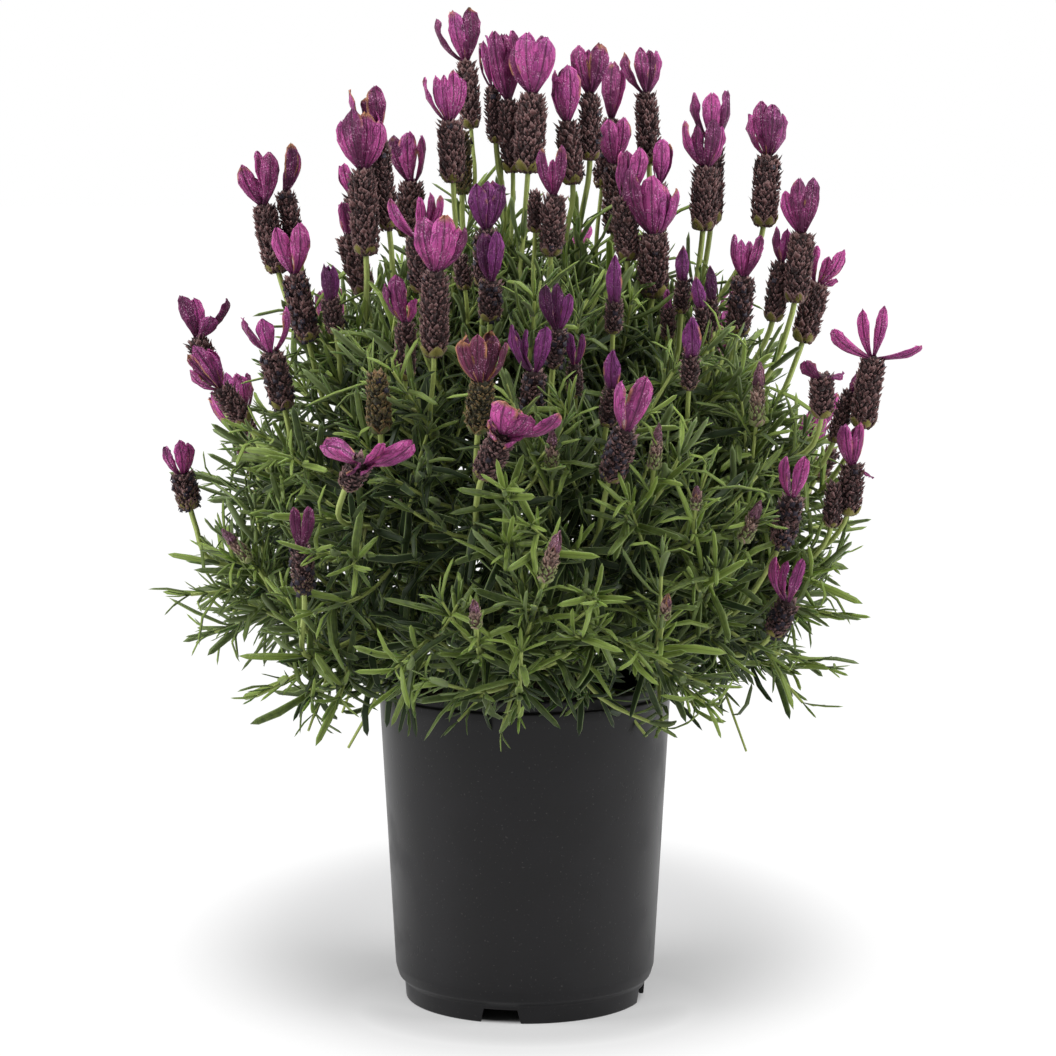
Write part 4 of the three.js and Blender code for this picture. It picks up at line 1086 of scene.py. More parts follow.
def make_branches():
    meshes = [leaf_shape(f"leaf_{i}", *bend, leaf_outline, leaf_section) for i, bend in enumerate(leaf_bends)]
    meshes += [leaf_shape(f"small_leaf_{i}", *bend, small_outline, small_section)
               for i, bend in enumerate(small_bends)]
    leaf_shapes = shape_collection("leaf_shapes", meshes)
    tree = leafy_tree(stalk_skin(), leaf_skin())

    # the spikes and their ears as plain lines, so that leaves are kept off them
    points = [point for head in heads for point in (head.base, head.tip)]
    lines = in_scene(new_mesh("head_lines", points, edges=[(i, i + 1) for i in range(0, len(points), 2)]))
    for index in range(branch_count):
        branch = stem_lines(f"leafy_stems_{index + 1}", index)
        with_tree(branch, tree, Leaves=leaf_shapes, Heads=lines, Seed=100 + 17 * index)
        settle(branch)
        finish_piece(branch, "foliage", f"leafy_branch_{index + 1}")
    bpy.data.objects.remove(lines)
    drop_collection(leaf_shapes)


make_branches()


# The flower heads
# A spike of dark, hairy, pointed bracts in rings, an olive cup of bracts at its foot, and a crown of thin
# waved magenta ears at its top. Each head grows on the end of its stalk; heads that touch are one piece.

ear_thickness = 0.35 * MM
ear_rows = 10
ear_columns = 4
calyx_length = 2.3 * MM
calyx_spacing = 1.5 * MM
bract_length = 3.9 * MM
bract_spacing = 3.1 * MM
calyx_width = 2.15 * MM
corolla_size = 2.8 * MM
ears_in_crown = 5

# Ear tips that the photograph shows, in its pixels, with each ear's width
shown_ears = {
    "A": [(454, 11, 17), (470, 8, 20), (436, 19, 6)],
    "B": [(424, 77, 6), (436, 76, 10), (444, 75, 11), (453, 70, 14), (462, 78, 12)],
    "C": [(494, 31, 17), (503, 34, 16), (512, 31, 11)],
    "D": [(517, 45, 20), (527, 32, 22), (547, 37, 24), (537, 50, 16)],
    "F": [(558, 77, 14), (569, 65, 23)],
    "G": [(578, 46, 18), (588, 50, 14), (600, 43, 20)],
    "H": [(613, 62, 20)],
    "J": [(609, 119, 18), (624, 117, 18)],
    "I": [(624, 53, 9), (640, 47, 15), (650, 50, 13), (657, 50, 9)],
    "K": [(628, 151, 17), (641, 147, 18)],
    "L": [(630, 168, 19), (652, 175, 25), (666, 186, 15), (677, 188, 11)],
    "M": [(662, 139, 18)],
    "N": [(685, 121, 10), (697, 124, 12), (714, 119, 16), (723, 127, 10)],
    "O": [(694, 93, 7), (712, 93, 19), (727, 91, 10)],
    "P": [(750, 114, 7), (761, 101, 18), (773, 104, 20), (783, 114, 12)],
    "Q": [(786, 190, 14), (799, 178, 17), (814, 177, 16)],
    "R": [(777, 227, 8), (788, 229, 12)],
    "S": [(817, 246, 9), (829, 257, 12), (843, 250, 14), (836, 279, 6)],
    "T": [(734, 235, 8), (742, 240, 10), (750, 241, 9), (761, 236, 11)],
    "U": [(833, 329, 14), (863, 309, 12), (884, 306, 12), (921, 346, 9)],
    "V": [(805, 361, 16), (843, 375, 7)],
    "X": [(846, 424, 12), (860, 423, 12), (872, 478, 5)],
    "Y": [(786, 457, 9), (805, 457, 15)],
    "Z": [(776, 557, 8), (788, 561, 8), (803, 560, 12)],
    "CC": [(692, 317, 19)],
    "DD": [(710, 266, 12)],
    "EE": [(696, 277, 14)],
    "FF": [(683, 246, 14)],
    "GG": [(615, 255, 16)],
    "HH": [(613, 350, 17)],
    "II": [(621, 381, 11), (647, 377, 22)],
    "KK": [(541, 148, 11), (553, 159, 11), (562, 145, 12)],
    "LL": [(545, 285, 13), (558, 284, 13), (570, 293, 12)],
    "MM": [(512, 325, 11), (527, 329, 9), (546, 327, 16)],
    "NN": [(570, 333, 9), (583, 334, 8)],
    "OO": [(484, 233, 15), (497, 231, 16)],
    "PP": [(477, 184, 19), (488, 181, 18), (501, 185, 15)],
    "QQ": [(424, 218, 23), (445, 214, 24), (459, 226, 15), (466, 228, 8)],
    "RR": [(390, 199, 11), (420, 197, 9), (431, 193, 8), (440, 196, 8)],
    "SS": [(384, 284, 7), (396, 275, 18), (414, 300, 9)],
    "TT": [(462, 341, 17), (478, 335, 18), (494, 336, 16), (506, 343, 10)],
    "VV": [(506, 403, 28), (528, 416, 24), (560, 414, 20), (517, 441, 16), (489, 429, 14)],
    "WW": [(326, 446, 22), (412, 444, 20), (382, 444, 17), (353, 470, 14), (371, 468, 12)],
    "XX": [(294, 507, 11), (309, 507, 12)],
    "YY": [(165, 446, 11), (179, 441, 14), (188, 443, 10)],
    "ZZ": [(181, 295, 16), (193, 298, 16), (210, 316, 18), (227, 298, 6)],
    "AB": [(188, 355, 13), (194, 346, 15), (206, 352, 14), (190, 371, 9)],
    "AC": [(242, 318, 8), (262, 319, 18), (286, 307, 8)],
    "AD": [(241, 165, 17), (257, 151, 13), (269, 151, 19), (253, 178, 15)],
    "AE": [(291, 143, 14)],
    "AF": [(276, 227, 18), (299, 223, 20)],
    "AG": [(324, 264, 12), (333, 265, 12)],
    "AH": [(342, 120, 18), (352, 108, 20), (366, 112, 20), (380, 121, 15)],
    "AI": [(374, 86, 20), (366, 98, 12), (349, 90, 5)],
    "AJ": [(393, 135, 16), (408, 132, 19), (422, 136, 6)],
    "AK": [(343, 202, 13)],
    "AL": [(343, 163, 12)],
    "AU": [(574, 228, 12), (590, 226, 12), (582, 240, 12)],
}
dried_heads = ("TT", "AW")
closed_heads = ("AG", "AW", "CC", "DD", "EE", "FF", "GG", "HH")
open_heads = ("B", "I", "L", "N", "O", "P", "Q", "R", "S", "T", "U", "V", "Y", "Z", "II", "KK", "LL", "MM",
              "NN", "RR", "SS", "VV", "WW", "XX", "ZZ", "AC", "AD", "AF", "AI", "AJ")
purple_heads = ("AG", "CC", "DD", "EE", "FF", "GG", "HH", "LL", "MM", "NN", "OO", "PP")
pale_heads = ("S", "U", "AU")
olive_heads = ("TT", "UU", "B2")
young_heads = ("XX", "YY")
corolla_heads = ("XX", "YY", "AC", "Y", "Z", "II", "OO", "LL", "MM", "AF", "T")


def ear_skin(name, low, high, vein, dry_from):
    """Thin crinkled magenta tissue: streaks and veins along it, painted glints (pale highlights painted into
    the colour) and a few dry brown edges.
    """
    graph = new_material(
        name, Roughness=0.5, Specular_IOR_Level=0.3, Sheen_Weight=0.08, Sheen_Roughness=0.35,
        Subsurface_Weight=0.15, Subsurface_Radius=(1.2 * MM, 0.4 * MM, 0.9 * MM), Subsurface_Scale=1.0,
    )
    place = graph.add("ShaderNodeUVMap", uv_map="ear_map")
    across, along, _ = graph.split(place)
    own = graph.attribute("ear_shade")
    shift = graph.point(own * 40, 0.0, own)
    streak = graph.noise(graph.vector("ADD", graph.vector("MULTIPLY", place, (9, 1.6, 1)), shift), 1.0)
    cloud = graph.noise(graph.place, 210, 4)
    colour = graph.blend(graph.between(cloud + streak + own * 0.9, 0.9, 1.85), low, high)
    violet = graph.vector("MULTIPLY", colour, (0.42, 0.4, 0.62))
    tint = graph.between(graph.noise(graph.place, 60, 2), 0.42, 0.66, 0.0, 0.45)
    tint = graph.most(tint, graph.attribute("ear_tint"))
    colour = graph.blend(tint, colour, violet)
    colour = graph.blend(graph.between(along, 0.42, 0.0) * 0.65, colour, (0.06, 0.006, 0.035))

    # a rib in the middle, and a net of veins that strays a little
    stray = graph.noise(graph.place, 330, 2, "Color")
    net_place = graph.vector("MULTIPLY", place, (4.4, 3.6, 1))
    net_place = graph.vector("ADD", net_place, graph.vector("MULTIPLY", stray, (0.9, 0.9, 0)))
    net = graph.add("ShaderNodeTexVoronoi", {"Vector": net_place, "Scale": 1.0}, feature="DISTANCE_TO_EDGE")
    off_rib = graph.math("ABSOLUTE", across - 0.5)
    veins = graph.most(graph.between(net, 0.09, 0.0) * 0.6, graph.between(off_rib, 0.06, 0.015))
    colour = graph.blend(veins * 0.82, colour, vein)

    # painted glints: pale highlights painted into the colour, fewer where the ear is purple; and dry edges
    glint_and_crinkle_noise = graph.noise(graph.place, 1500, 2)
    painted_glints = graph.between(glint_and_crinkle_noise, 0.56, 0.67) * graph.between(cloud, 0.42, 0.6)
    painted_glints = painted_glints * graph.between(tint, 0.5, 1.0, 0.58, 0.22)
    colour = graph.blend(painted_glints, colour, (0.78, 0.44, 0.64))
    edge = graph.most(graph.between(off_rib, 0.34, 0.48), graph.between(along, 0.8, 0.98))
    dry = graph.between(graph.noise(graph.place, 80, 3), dry_from, dry_from + 0.1) * edge
    colour = graph.blend(dry * 0.85, colour, (0.4, 0.19, 0.07))
    crinkle = glint_and_crinkle_noise * 0.6 + graph.noise(graph.place, 620, 3)
    return graph.skin(colour, crinkle + streak - veins, 0.9, 0.6 * MM)


def bract_skin(name, low, high, tip, foot):
    """Hairy bracts: mottled, paler at their points and rims, of another colour at the foot of the spike."""
    graph = new_material(name, Roughness=0.75, Specular_IOR_Level=0.25, Sheen_Weight=0.12)
    shade, rim = graph.attribute("shade"), graph.attribute("rim")
    speckle = graph.noise(graph.place, 1300, 3)
    colour = graph.blend(graph.between(speckle + shade * 0.7, 0.45, 1.1), low, high)
    pale = graph.most(graph.between(graph.attribute("rise"), 0.4, 1.0), graph.between(rim, 0.5, 1.0))
    pale = pale * graph.between(shade + speckle, 0.5, 1.3)
    colour = graph.blend(pale * 0.75, colour, tip)
    olive = graph.attribute("olive") + speckle * 0.5 - rim * 0.45
    colour = graph.blend(graph.between(olive, 0.5, 0.8), colour, foot)
    return graph.skin(colour, graph.noise(graph.place, 1700, 3), 0.9, 0.45 * MM)


def fine_skin(name, colour):
    """The finish of a very small part, with a slight change of tone."""
    graph = new_material(name, Roughness=0.6, Sheen_Weight=0.05)
    darker = tuple(0.45 * value for value in colour)
    return graph.skin(graph.blend(graph.noise(graph.place, 1200, 2), darker, colour))


def pointed_scale(name, width, thick, bend):
    """A unit bract along +Z with its outer face towards +X: a closed keeled scale that ends in a point.

    Its skin reads how near a point is to the tip, as rise, and how near to the edge, as rim.
    """
    points, faces = [], []
    for share, size in ((0.0, 0.7), (0.45, 1.0)):
        out = bend * share * share
        points += [(out, -width * size, share), (out + thick * size, 0, share), (out, width * size, share)]
    points.append((bend, 0, 1.0))
    for k in range(3):
        after = (k + 1) % 3
        faces.append((k, after, 3 + after, 3 + k))
        faces.append((3 + k, 3 + after, 6))
    faces.append((2, 1, 0))
    rise = [point[2] for point in points]
    return new_mesh(name, points, faces, rise=rise, rim=[1, 0, 1, 1, 0, 1, 0.6])


def sheet_sides(rows, columns):
    """The faces of a thin sheet but those of its two ends, each corner as its layer, row and column."""
    last = columns - 1
    for r in range(rows - 1):
        for c in range(last):
            yield (0, r, c), (0, r, c + 1), (0, r + 1, c + 1), (0, r + 1, c)
            yield (1, r, c), (1, r + 1, c), (1, r + 1, c + 1), (1, r, c + 1)
        yield (0, r, 0), (0, r + 1, 0), (1, r + 1, 0), (1, r, 0)
        yield (0, r, last), (1, r, last), (1, r + 1, last), (0, r + 1, last)


def cup_bract():
    """One bract of the cup under a spike of unit radius: it leaves the stalk, turns up and hugs the foot."""
    course = [(0.16, -0.16, 0.2), (0.54, -0.1, 0.42), (0.84, 0.16, 0.56), (0.97, 0.50, 0.38)]
    thick = 0.06
    points, rim = [], []
    for layer in (0, 1):
        for out, height, half in course:
            for side in (-1, 0, 1):
                turn = side * half / max(out, 0.3)
                points.append(on_circle(out - thick * layer, turn, height + thick * layer))
                rim.append(abs(side))
    tip = len(points)
    points.append((1.0, 0, 0.84))
    rim.append(1)
    rows = len(course)

    def at(layer, row, column):
        return (layer * rows + row) * 3 + column

    faces = [tuple(at(*corner) for corner in face) for face in sheet_sides(rows, 3)]
    last = rows - 1
    for c in (0, 1):
        faces.append((at(0, last, c), at(0, last, c + 1), tip))
        faces.append((at(1, last, c + 1), at(1, last, c), tip))
        faces.append((at(0, 0, c), at(1, 0, c), at(1, 0, c + 1), at(0, 0, c + 1)))
    faces.append((at(0, last, 0), tip, at(1, last, 0)))
    faces.append((at(0, last, 2), at(1, last, 2), tip))
    return new_mesh("cup_bract", points, faces, rise=[0.0] * len(points), rim=rim)


def corolla_shape():
    """A tiny open flower along +X: a short tube that flares into four lobes."""
    around = 8
    points, faces = [], []
    for reach, radius in ((-0.4, 0.16), (0.5, 0.2), (0.72, 0.5)):
        for k in range(around):
            angle = full_turn * k / around
            lobe = radius * (1.25 if k % 2 else 0.7) if radius > 0.4 else radius
            points.append((reach, lobe * math.cos(angle), lobe * math.sin(angle)))
    for low in (0, around):
        for k in range(around):
            after = (k + 1) % around
            faces.append((low + k, low + after, low + around + after, low + around + k))
    faces.append(tuple(range(around))[::-1])
    throat = len(points)
    points.append((0.45, 0, 0))
    faces += [(2 * around + k, 2 * around + (k + 1) % around, throat) for k in range(around)]
    return new_mesh("corolla", points, faces)


def spike_tree(name, bracts, hairs, corollas):
    """One spike, made upright at the origin from its sizes and then moved to its place."""
    tree = Tree(
        name, Length=30 * MM, Radius=6 * MM, Taper=0.05, Calyx_rings=18, Calyces=13, Bract_rings=9, Bracts=7,
        Cup_bracts=5, Place="Vector", Turn="Vector", Seed=1, Foot_olive=0.3, Foot_height=0.08, Corollas=0.0,
        Hairs=45000.0, Scales="Collection", Cup="Object", Flower="Object",
    )
    given = tree.given
    length, radius = given["Length"], given["Radius"]
    index = tree.add("GeometryNodeInputIndex")
    rise = tree.split(tree.add("GeometryNodeInputPosition"))[2] / length
    scales = tree.members(given["Scales"])

    def seeded(low, high, step):
        return tree.random(low, high, given["Seed"] + step)

    def profile(share, size):
        """The radius at a share of the length: blunt at the foot, round at the top, narrower by the taper."""
        off_middle = tree.math("ABSOLUTE", share * 2.0 - 1.0)
        rounding = tree.math("POWER", off_middle, 5.0) * tree.between(share, 0, 1, 0.42, 0.26)
        rounding = rounding + tree.between(share, 0.9, 1.02, 0.0, 0.4)
        narrow = given["Taper"] * tree.math("POWER", share, 1.4)
        return (1.0 - rounding - narrow) * size * radius

    def ringed(rings, around, depth, leans, size, picks, shades, step):
        """Rings of scales round the spike, each turned by half a step: points, their angle, the scales."""
        ring = tree.math("FLOOR", index / around)
        place = index - ring * around
        share = (ring + seeded(0.0, 0.5, step)) / rings
        half_step = tree.math("MODULO", ring, 2.0) * 0.5
        angle = (place + half_step) / around * full_turn + seeded(-0.14, 0.14, step + 1)
        out = profile(share, depth)
        x, y = out * tree.math("COSINE", angle), out * tree.math("SINE", angle)
        links = {"Count": rings * around, "Position": tree.point(x, y, (share - 0.03) * length)}
        points = tree.add("GeometryNodePoints", links)
        lean = seeded(*leans, step + 2) - given["Taper"] * 0.5
        facing = tree.point(seeded(-0.35, 0.35, step + 3), lean, angle)
        fit = tree.between(radius, 3 * MM, 7 * MM, 0.75 * size, 1.06 * size)
        made = tree.placed(points, scales, facing, seeded(0.75, 1.2, step + 4) * fit,
                           Pick_Instance=True, Instance_Index=seeded(*picks, step + 5))
        low = given["Foot_height"] * 0.4 - 0.05
        olive = tree.between(rise, low, given["Foot_height"], given["Foot_olive"], 0.0)
        made = tree.stored(tree.stored(made, "olive", olive), "shade", seeded(*shades, step + 6))
        return points, angle, made

    line = tree.add("GeometryNodeCurvePrimitiveLine", {"Start": (0, 0, 0), "End": tree.point(z=length)})
    line = tree.add("GeometryNodeResampleCurve", {"Curve": line, "Count": 11})
    core = tree.tube(line, 8, 1.0, profile(tree.add("GeometryNodeSplineParameter", out="Factor"), 0.77))

    # small hairy calyces all over, and rings of broader bracts whose points stand out between them
    _, _, calyces = ringed(given["Calyx_rings"], given["Calyces"], 0.76, (0.1, 0.75), calyx_length,
                           (0, 1), (0.1, 1.0), 0)
    places, angle, broad = ringed(given["Bract_rings"], given["Bracts"], 0.69, (0.34, 0.62), bract_length,
                                  (2, 3), (0.0, 0.8), 20)

    # the cup of broad bracts round the foot
    cup_turn = index * full_turn / given["Cup_bracts"] + given["Seed"] * 0.17
    cup_points = tree.add("GeometryNodePoints", {"Count": given["Cup_bracts"], "Position": (0, 0, 0)})
    cup_size = radius * seeded(0.78, 1.0, 7)
    cup = tree.placed(cup_points, tree.shape(given["Cup"]), tree.point(z=cup_turn), cup_size)
    cup = tree.stored(tree.stored(cup, "shade", 0.5), "olive", seeded(0.6, 0.95, 9))
    covered = tree.realized(tree.joined(calyces, broad, cup))

    # fine hairs on the bracts, and tiny flowers that open above the broad ones
    links = {"Mesh": covered, "Density": given["Hairs"], "Seed": given["Seed"]}
    rooted = tree.outputs("GeometryNodeDistributePointsOnFaces", links)
    links = {"Vertices": 3, "Side Segments": 1, "Fill Segments": 1,
             "Radius Top": 0.0, "Radius Bottom": 0.08 * MM, "Depth": 1.3 * MM}
    hair = tree.add("GeometryNodeMeshCone", links)
    hair_size = tree.random((1, 1, 0.5), (1, 1, 1.2))
    fuzz = tree.realized(tree.placed(rooted["Points"], hair, rooted["Rotation"], hair_size))
    flowers = tree.placed(places, tree.shape(given["Flower"]), tree.point(y=-0.4, z=angle),
                          (corolla_size,) * 3, Selection=seeded(0.0, 1.0, 8) < given["Corollas"])
    dressed = tree.painted(tree.joined(core, covered), bracts)
    flowers = tree.painted(tree.realized(flowers), corollas)
    spike = tree.joined(dressed, tree.painted(fuzz, hairs), flowers)
    links = {"Geometry": spike, "Translation": given["Place"], "Rotation": given["Turn"]}
    return tree.end(given["Geometry"], tree.add("GeometryNodeTransform", links))


class EarBed:
    """Gathers ears as closed thin blades: each point with its place on the ear, each ear with its shade."""

    def __init__(self):
        self.points, self.faces, self.corners, self.shades, self.tints = [], [], [], [], []

    def blade(self, surface, normals, shade, tint):
        """surface is rows of points from the foot to the tip; the back face lies behind them."""
        rows, columns = len(surface), len(surface[0])
        start = len(self.points)
        for layer in (0, 1):
            for line, normal in zip(surface, normals):
                self.points += [point - normal * (ear_thickness * layer) for point in line]
        self.shades += [shade] * (2 * rows * columns)
        self.tints += [tint] * (2 * rows * columns)
        ends = []
        for c in range(columns - 1):
            ends.append(((0, 0, c), (1, 0, c), (1, 0, c + 1), (0, 0, c + 1)))
            ends.append(((0, rows - 1, c), (0, rows - 1, c + 1), (1, rows - 1, c + 1), (1, rows - 1, c)))
        for face in [*sheet_sides(rows, columns), *ends]:
            self.faces.append([start + (side * rows + row) * columns + column for side, row, column in face])
            self.corners += [(column / (columns - 1), row / (rows - 1)) for _, row, column in face]

    def piece(self, name, material):
        mesh = new_mesh(name, self.points, self.faces, uv=("ear_map", self.corners),
                        ear_shade=self.shades, ear_tint=self.tints)
        return in_scene(mesh, material)


def ear_outline(t, foot):
    """An ear's half width along its length: a foot, a broad part, and a tip that is round on an open ear."""
    closed = foot > 0.5
    broadest, blunt, round_by = (0.5, 0.1, 1.7) if closed else (0.66, 0.16, 2.4)
    if t < broadest:
        return foot + (1 - foot) * math.sin(t / broadest * math.pi / 2) ** 1.6
    return max(blunt, (1 - ((t - broadest) / (1 - broadest)) ** round_by) ** (0.8 if closed else 0.5))


def add_ear(bed, head, tip, outward, width, draw, foot=0.22, tint=0.0, back=0.0):
    """One ear from the top of the spike to its tip. It bulges out, cups inwards, and is ragged at its rim."""
    root = head.top + outward * (head.radius * (foot - 0.03)) - head.axis * (1.4 * MM) + Vector((0, back, 0))
    span = tip - root
    rise = head.axis * span.dot(head.axis)
    bulge = span.length * draw.uniform(0.14, 0.26) * (1.2 - foot)
    control = root + rise * 0.46 + (span - rise) * 0.85 + outward * bulge
    cup = draw.uniform(0.1, 0.42)
    waves, phase = draw.uniform(1.6, 3.0), draw.uniform(0, 6.28)
    ripple = draw.uniform(0.4, 1.1) * MM * min(1.0, width / (7 * MM))
    crease = draw.uniform(5.0, 9.0)
    skew = draw.uniform(-0.2, 0.2)
    rags = [draw.uniform(0.86, 1.07) for _ in range(2 * ear_rows + 2)]
    fringe = [draw.uniform(-0.6, 0.5) * MM for _ in range(ear_columns + 1)]
    surface, normals = [], []
    for row in range(ear_rows + 1):
        t = row / ear_rows * (1.3 - 0.3 * row / ear_rows)
        centre = root * (1 - t) ** 2 + control * (2 * t * (1 - t)) + tip * t * t
        along = ((control - root) * (1 - t) + (tip - control) * t).normalized()
        across = (along.cross(outward).normalized() + outward * skew * t).normalized()
        normal = across.cross(along).normalized()
        if normal.dot(outward) < 0:
            normal = -normal
        half = width / 2 * ear_outline(t, foot)
        line = []
        for column in range(ear_columns + 1):
            s = 2 * column / ear_columns - 1
            rag = 1 + (rags[2 * row + (s > 0)] - 1) * t if abs(s) == 1 else 1
            wave = ripple * math.sin(2 * math.pi * waves * t + phase + 1.3 * s) * abs(s) ** 1.4 * t
            valley = 0.3 * MM if s == 0 else 0.0
            fold = 0.22 * MM * math.sin(crease * s + 6 * t + phase) - cup * half * s * s - valley
            spot = centre + across * (half * s * rag) + normal * (fold + wave)
            line.append(spot + along * (fringe[column] * t ** 5))
        surface.append(line)
        normals.append(normal)
    shade = draw.random() + (0.8 if head.name in pale_heads else 0.0)
    bed.blade(surface, normals, shade, tint)


def crown_of(head, bed, draw):
    """The ears that the photograph shows, then enough others between and behind them to close the crown.

    An open crown keeps its gaps: its other ears stand right behind the broadest of the shown ones.
    An ear that is seen narrower than the broadest one of its crown is turned sideways by as much.
    """
    shown = sorted(shown_ears.get(head.name, []), key=lambda ear: -ear[2])
    foot = 0.62 if head.name in closed_heads else 0.22
    tint = 1.0 if head.name in purple_heads else 0.0
    broadest = shown[0][2] if shown else 20
    for order, (x, y, width) in enumerate(shown):
        whole = max(width, 0.85 * broadest)
        facing = width / whole
        seen = photo_point((x, y), head.depth)
        aside = seen.x - (head.top + head.axis * (seen - head.top).dot(head.axis)).x
        outward = Vector((math.copysign(math.sqrt(1 - facing ** 2) + 0.15, aside), -facing, 0))
        back = order * 0.9 * MM
        tip = photo_point((x, y), head.depth * 1.15 - facing * head.radius * 0.5 + back)
        add_ear(bed, head, tip, head.outward(outward), whole * pixel, draw, foot, tint, back)
    if head.name in open_heads:
        for x, y, width in shown[:2]:
            behind = photo_point((x, y + 4), head.depth + 0.4 * head.crown)
            add_ear(bed, head, behind, Vector((0, 1, 0)), 0.9 * width * pixel, draw, foot, tint, 1.5 * MM)
        return
    if head.crown <= 0:
        return
    reach = (head.tip - head.top).length
    wide = clamp(head.crown * 0.42, 3.6 * MM, 0.85 * broadest * pixel)
    wanted = ears_in_crown if head.crown > 9 * MM else 4
    missing = max(2 if shown else 0, wanted - len(shown))
    start = draw.uniform(0.0, 0.5)
    spread = max(0.6 * MM, min(head.crown, 20 * MM) / 2 - wide * 0.35)
    if head.name in closed_heads:
        spread = 0.6 * MM
    for i in range(missing):
        angle = start + math.pi * (i + 0.5) / missing if shown else start + 2 * math.pi * i / missing
        outward = head.outward(towards(angle))
        rise = (head.tip - head.top).normalized() * (reach * draw.uniform(0.78, 0.97))
        add_ear(bed, head, head.top + rise + outward * spread, outward, wide, draw, foot, tint)


bract_scales = shape_collection("bract_shapes", [
    pointed_scale("calyx_a", 0.33, 0.3, 0.1), pointed_scale("calyx_b", 0.28, 0.34, 0.24),
    pointed_scale("wide_bract_a", 0.36, 0.16, 0.1), pointed_scale("wide_bract_b", 0.32, 0.18, 0.22)])
foot_shapes = shape_collection("foot_shapes", [cup_bract(), corolla_shape()])


def add_spike(piece, tree, head, seed, **values):
    """A head's spike on a piece, with as many rings of scales as its length takes."""
    span = head.top - head.base
    girth = full_turn * head.radius * 0.8
    with_tree(
        piece, tree, Length=span.length, Radius=head.radius, Seed=seed, Place=tuple(head.base),
        Turn=tuple(span.to_track_quat("Z", "Y").to_euler()),
        Calyx_rings=max(4, round(span.length / calyx_spacing)), Calyces=max(7, round(girth / calyx_width)),
        Bract_rings=max(2, round(span.length / bract_spacing)), Bracts=8 if head.radius > 5 * MM else 6,
        Scales=bract_scales, Cup=foot_shapes.objects["cup_bract"], Flower=foot_shapes.objects["corolla"],
        **values,
    )


def make_flower_heads():
    bracts = bract_skin("bracts", (0.018, 0.006, 0.007), (0.135, 0.056, 0.055), (0.34, 0.21, 0.2),
                        (0.185, 0.165, 0.035))
    hair = fine_skin("spike_hair", (0.36, 0.25, 0.24))
    corolla = fine_skin("corolla", (0.012, 0.004, 0.022))
    magenta = ear_skin("ears", (0.11, 0.006, 0.06), (0.5, 0.072, 0.30), (0.06, 0.004, 0.035), 0.56)
    dried = ear_skin("dried_ears", (0.06, 0.008, 0.028), (0.2, 0.035, 0.09), (0.04, 0.008, 0.015), 0.45)
    tree = spike_tree("bract spike", bracts, hair, corolla)
    old_bracts = bract_skin("old_bracts", (0.018, 0.017, 0.006), (0.11, 0.1, 0.028), (0.36, 0.19, 0.09),
                            (0.1, 0.12, 0.03))
    old_tree = spike_tree("old spike", old_bracts, hair, corolla)
    for node in sorted({head.node for head in heads}):
        members = [(order, head) for order, head in enumerate(heads) if head.node == node]
        bed = EarBed()
        for order, head in members:
            crown_of(head, bed, random.Random(400 + order))
        is_dried = members[0][1].name in dried_heads
        piece = bed.piece(f"bloom_{node:02d}", dried if is_dried else magenta)
        for order, head in members:
            young = head.name in young_heads
            add_spike(piece, old_tree if head.name in olive_heads else tree, head, 10 * order,
                      Taper=0.05 if head.crown > 0 else 0.35,
                      Foot_olive=0.5 if young else 0.3, Foot_height=0.9 if young else 0.08,
                      Corollas=0.5 if head.name in corolla_heads else 0.04)
        settle(piece)
        finish_piece(piece, "flower", f"flower_head_{node:02d}")


make_flower_heads()


# The young buds
# Short spikes of tight grey-green bracts, whose ears are still closed into a purple point. Each grows on the
# end of its own green stalk.


def make_buds():
    bracts = bract_skin("bud_bracts", (0.1, 0.055, 0.045), (0.34, 0.2, 0.16), (0.45, 0.34, 0.28),
                        (0.24, 0.28, 0.1))
    hair = fine_skin("bud_hair", (0.45, 0.47, 0.33))
    closed = ear_skin("closed_ears", (0.08, 0.03, 0.04), (0.28, 0.12, 0.16), (0.05, 0.01, 0.02), 0.5)
    tree = spike_tree("bud spike", bracts, hair, hair)
    bed = EarBed()
    young = [Head("young", 0, foot, foot.lerp(point, 0.7), point, foot, radius, 2 * radius, foot.y)
             for foot, point, radius in buds]
    for order, head in enumerate(young):
        draw = random.Random(900 + order)
        for side in range(4):
            outward = head.outward(towards(math.pi * side / 2 + 0.6))
            add_ear(bed, head, head.tip + outward * (0.4 * MM), outward, head.radius * 0.8, draw, 0.7)
    buds_piece = bed.piece("young_buds", closed)
    for order, head in enumerate(young):
        add_spike(buds_piece, tree, head, 7 * order,
                  Taper=0.55, Foot_olive=0.85, Foot_height=0.75, Corollas=0.0)
    settle(buds_piece)
    finish_piece(buds_piece, "foliage")


make_buds()
drop_collection(bract_scales)
drop_collection(foot_shapes)
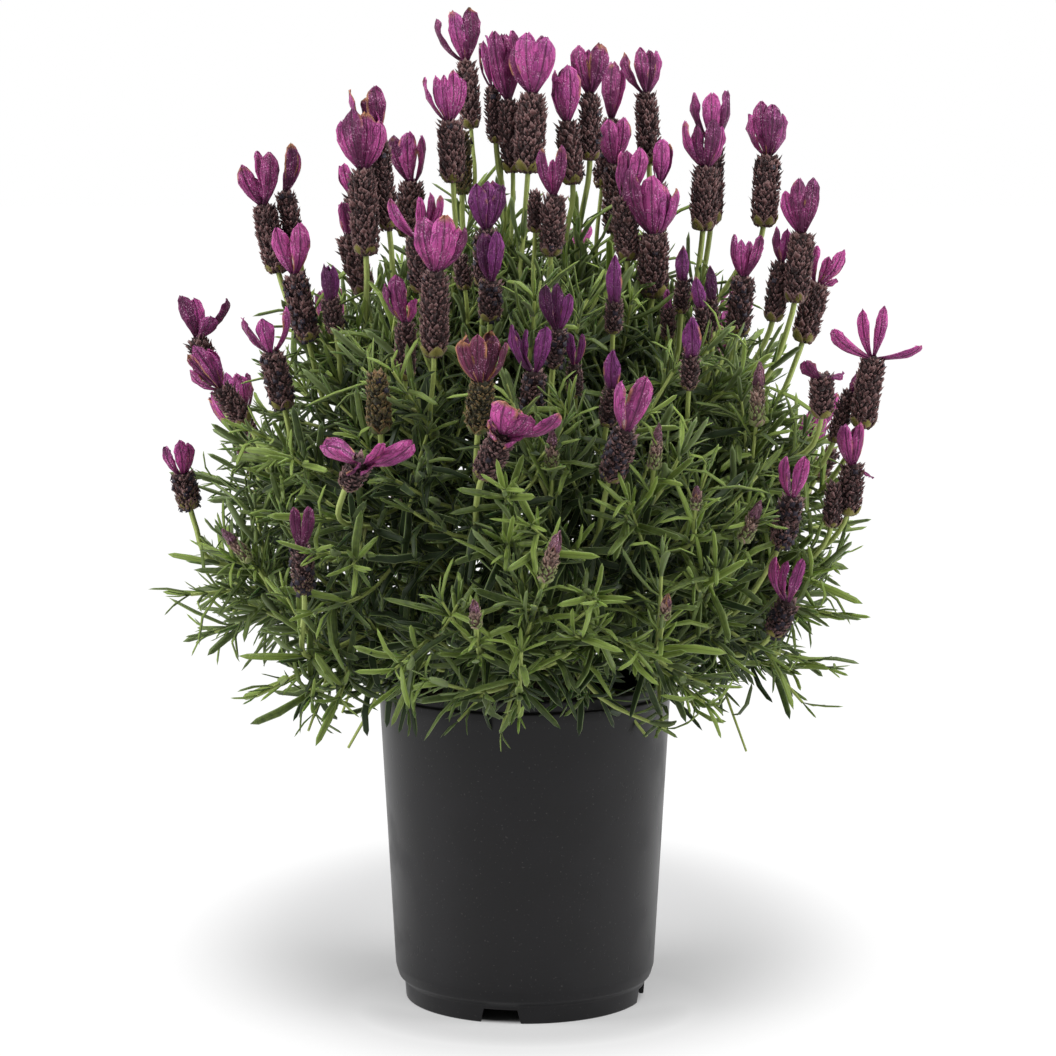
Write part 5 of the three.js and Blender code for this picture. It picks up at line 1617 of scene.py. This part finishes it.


# The studio
# A white floor that glows, with a painted soft shadow round the pot and painted dark under it, and fades into
# a white room; large soft lights, and a camera where the photograph was taken from. None of it belongs to the
# object.


def floor_paint():
    """A glowing floor: grey near the pot, where its glow is dimmed into a painted shadow round and behind the
    pot and a painted contact shadow at its foot, with no glow under the pot, and brightened to the white of
    the room further out.
    """
    graph = new_material("floor_paint", Roughness=0.7, Emission_Color=(1, 1, 1, 1))

    def away(centre, squeeze):
        offset = graph.vector("MULTIPLY", graph.vector("SUBTRACT", graph.place, centre), (1, squeeze, 1))
        return graph.vector("LENGTH", offset, out="Value")

    # painted shadow: a soft cloud round and behind the pot, a ring at its foot, and no glow under it
    cloud = graph.between(away((0, 0.12, 0), 0.7), 0.05, 0.235)
    before = graph.between(away((0, 0, 0), 1.0), 0.055, 0.13)
    painted_glow_past_foot = graph.between(away((0, 0, 0), 1.0), 0.048, 0.055)
    glow_with_painted_shadow = graph.math("MINIMUM", graph.between(cloud, 0, 1, 0.3, 1.0), graph.between(before, 0, 1, 0.44, 1.0))
    graph.feed(glow_with_painted_shadow * painted_glow_past_foot, "Emission Strength")
    return graph.skin(graph.blend(graph.math("MINIMUM", cloud, before), (0.3, 0.3, 0.303), (0, 0, 0)))


def white_room():
    """A room that looks white and gives a dimmer, even light."""
    world = bpy.data.worlds.new("white_room")
    world.use_nodes = True
    graph = Graph(world.node_tree)
    graph.shader = world.node_tree.nodes["Background"].inputs
    graph.shader["Color"].default_value = (1, 1, 1, 1)
    seen = graph.add("ShaderNodeLightPath", out="Is Camera Ray")
    graph.feed(graph.between(seen, 0.0, 1.0, 0.2, 1.0), "Strength")
    bpy.context.scene.world = world


def soft_light(name, place, aim, size, power):
    lamp = bpy.data.lights.new(name, "AREA")
    lamp.shape = "DISK"
    lamp.size = size
    lamp.energy = power
    made = in_scene(lamp)
    made.location = place
    made.rotation_euler = (Vector(aim) - Vector(place)).to_track_quat("-Z", "Y").to_euler()


def make_studio():
    reach = 12.0
    corners = [(-reach, -reach, 0), (reach, -reach, 0), (reach, reach, 0), (-reach, reach, 0)]
    floor = in_scene(new_mesh("floor", corners, [(0, 1, 2, 3)], smooth=False), floor_paint())
    white_room()
    soft_light("overhead", (0.0, 0.1, 1.5), (0, 0, 0.2), 1.5, 24)
    soft_light("left_side", (-1.4, -0.4, 0.9), (0, 0, 0.25), 0.9, 21)
    soft_light("right_side", (1.4, -0.4, 0.9), (0, 0, 0.25), 0.9, 19)
    camera = bpy.data.cameras.new("photo_camera")
    camera.sensor_width = 36
    camera.lens = focal / (2 * frame_centre) * camera.sensor_width
    made = in_scene(camera)
    made.location = eye
    made.rotation_euler = (math.pi / 2 - pitch, 0, 0)
    bpy.context.scene.camera = made
    bpy.context.scene.view_settings.view_transform = "Standard"


make_studio()
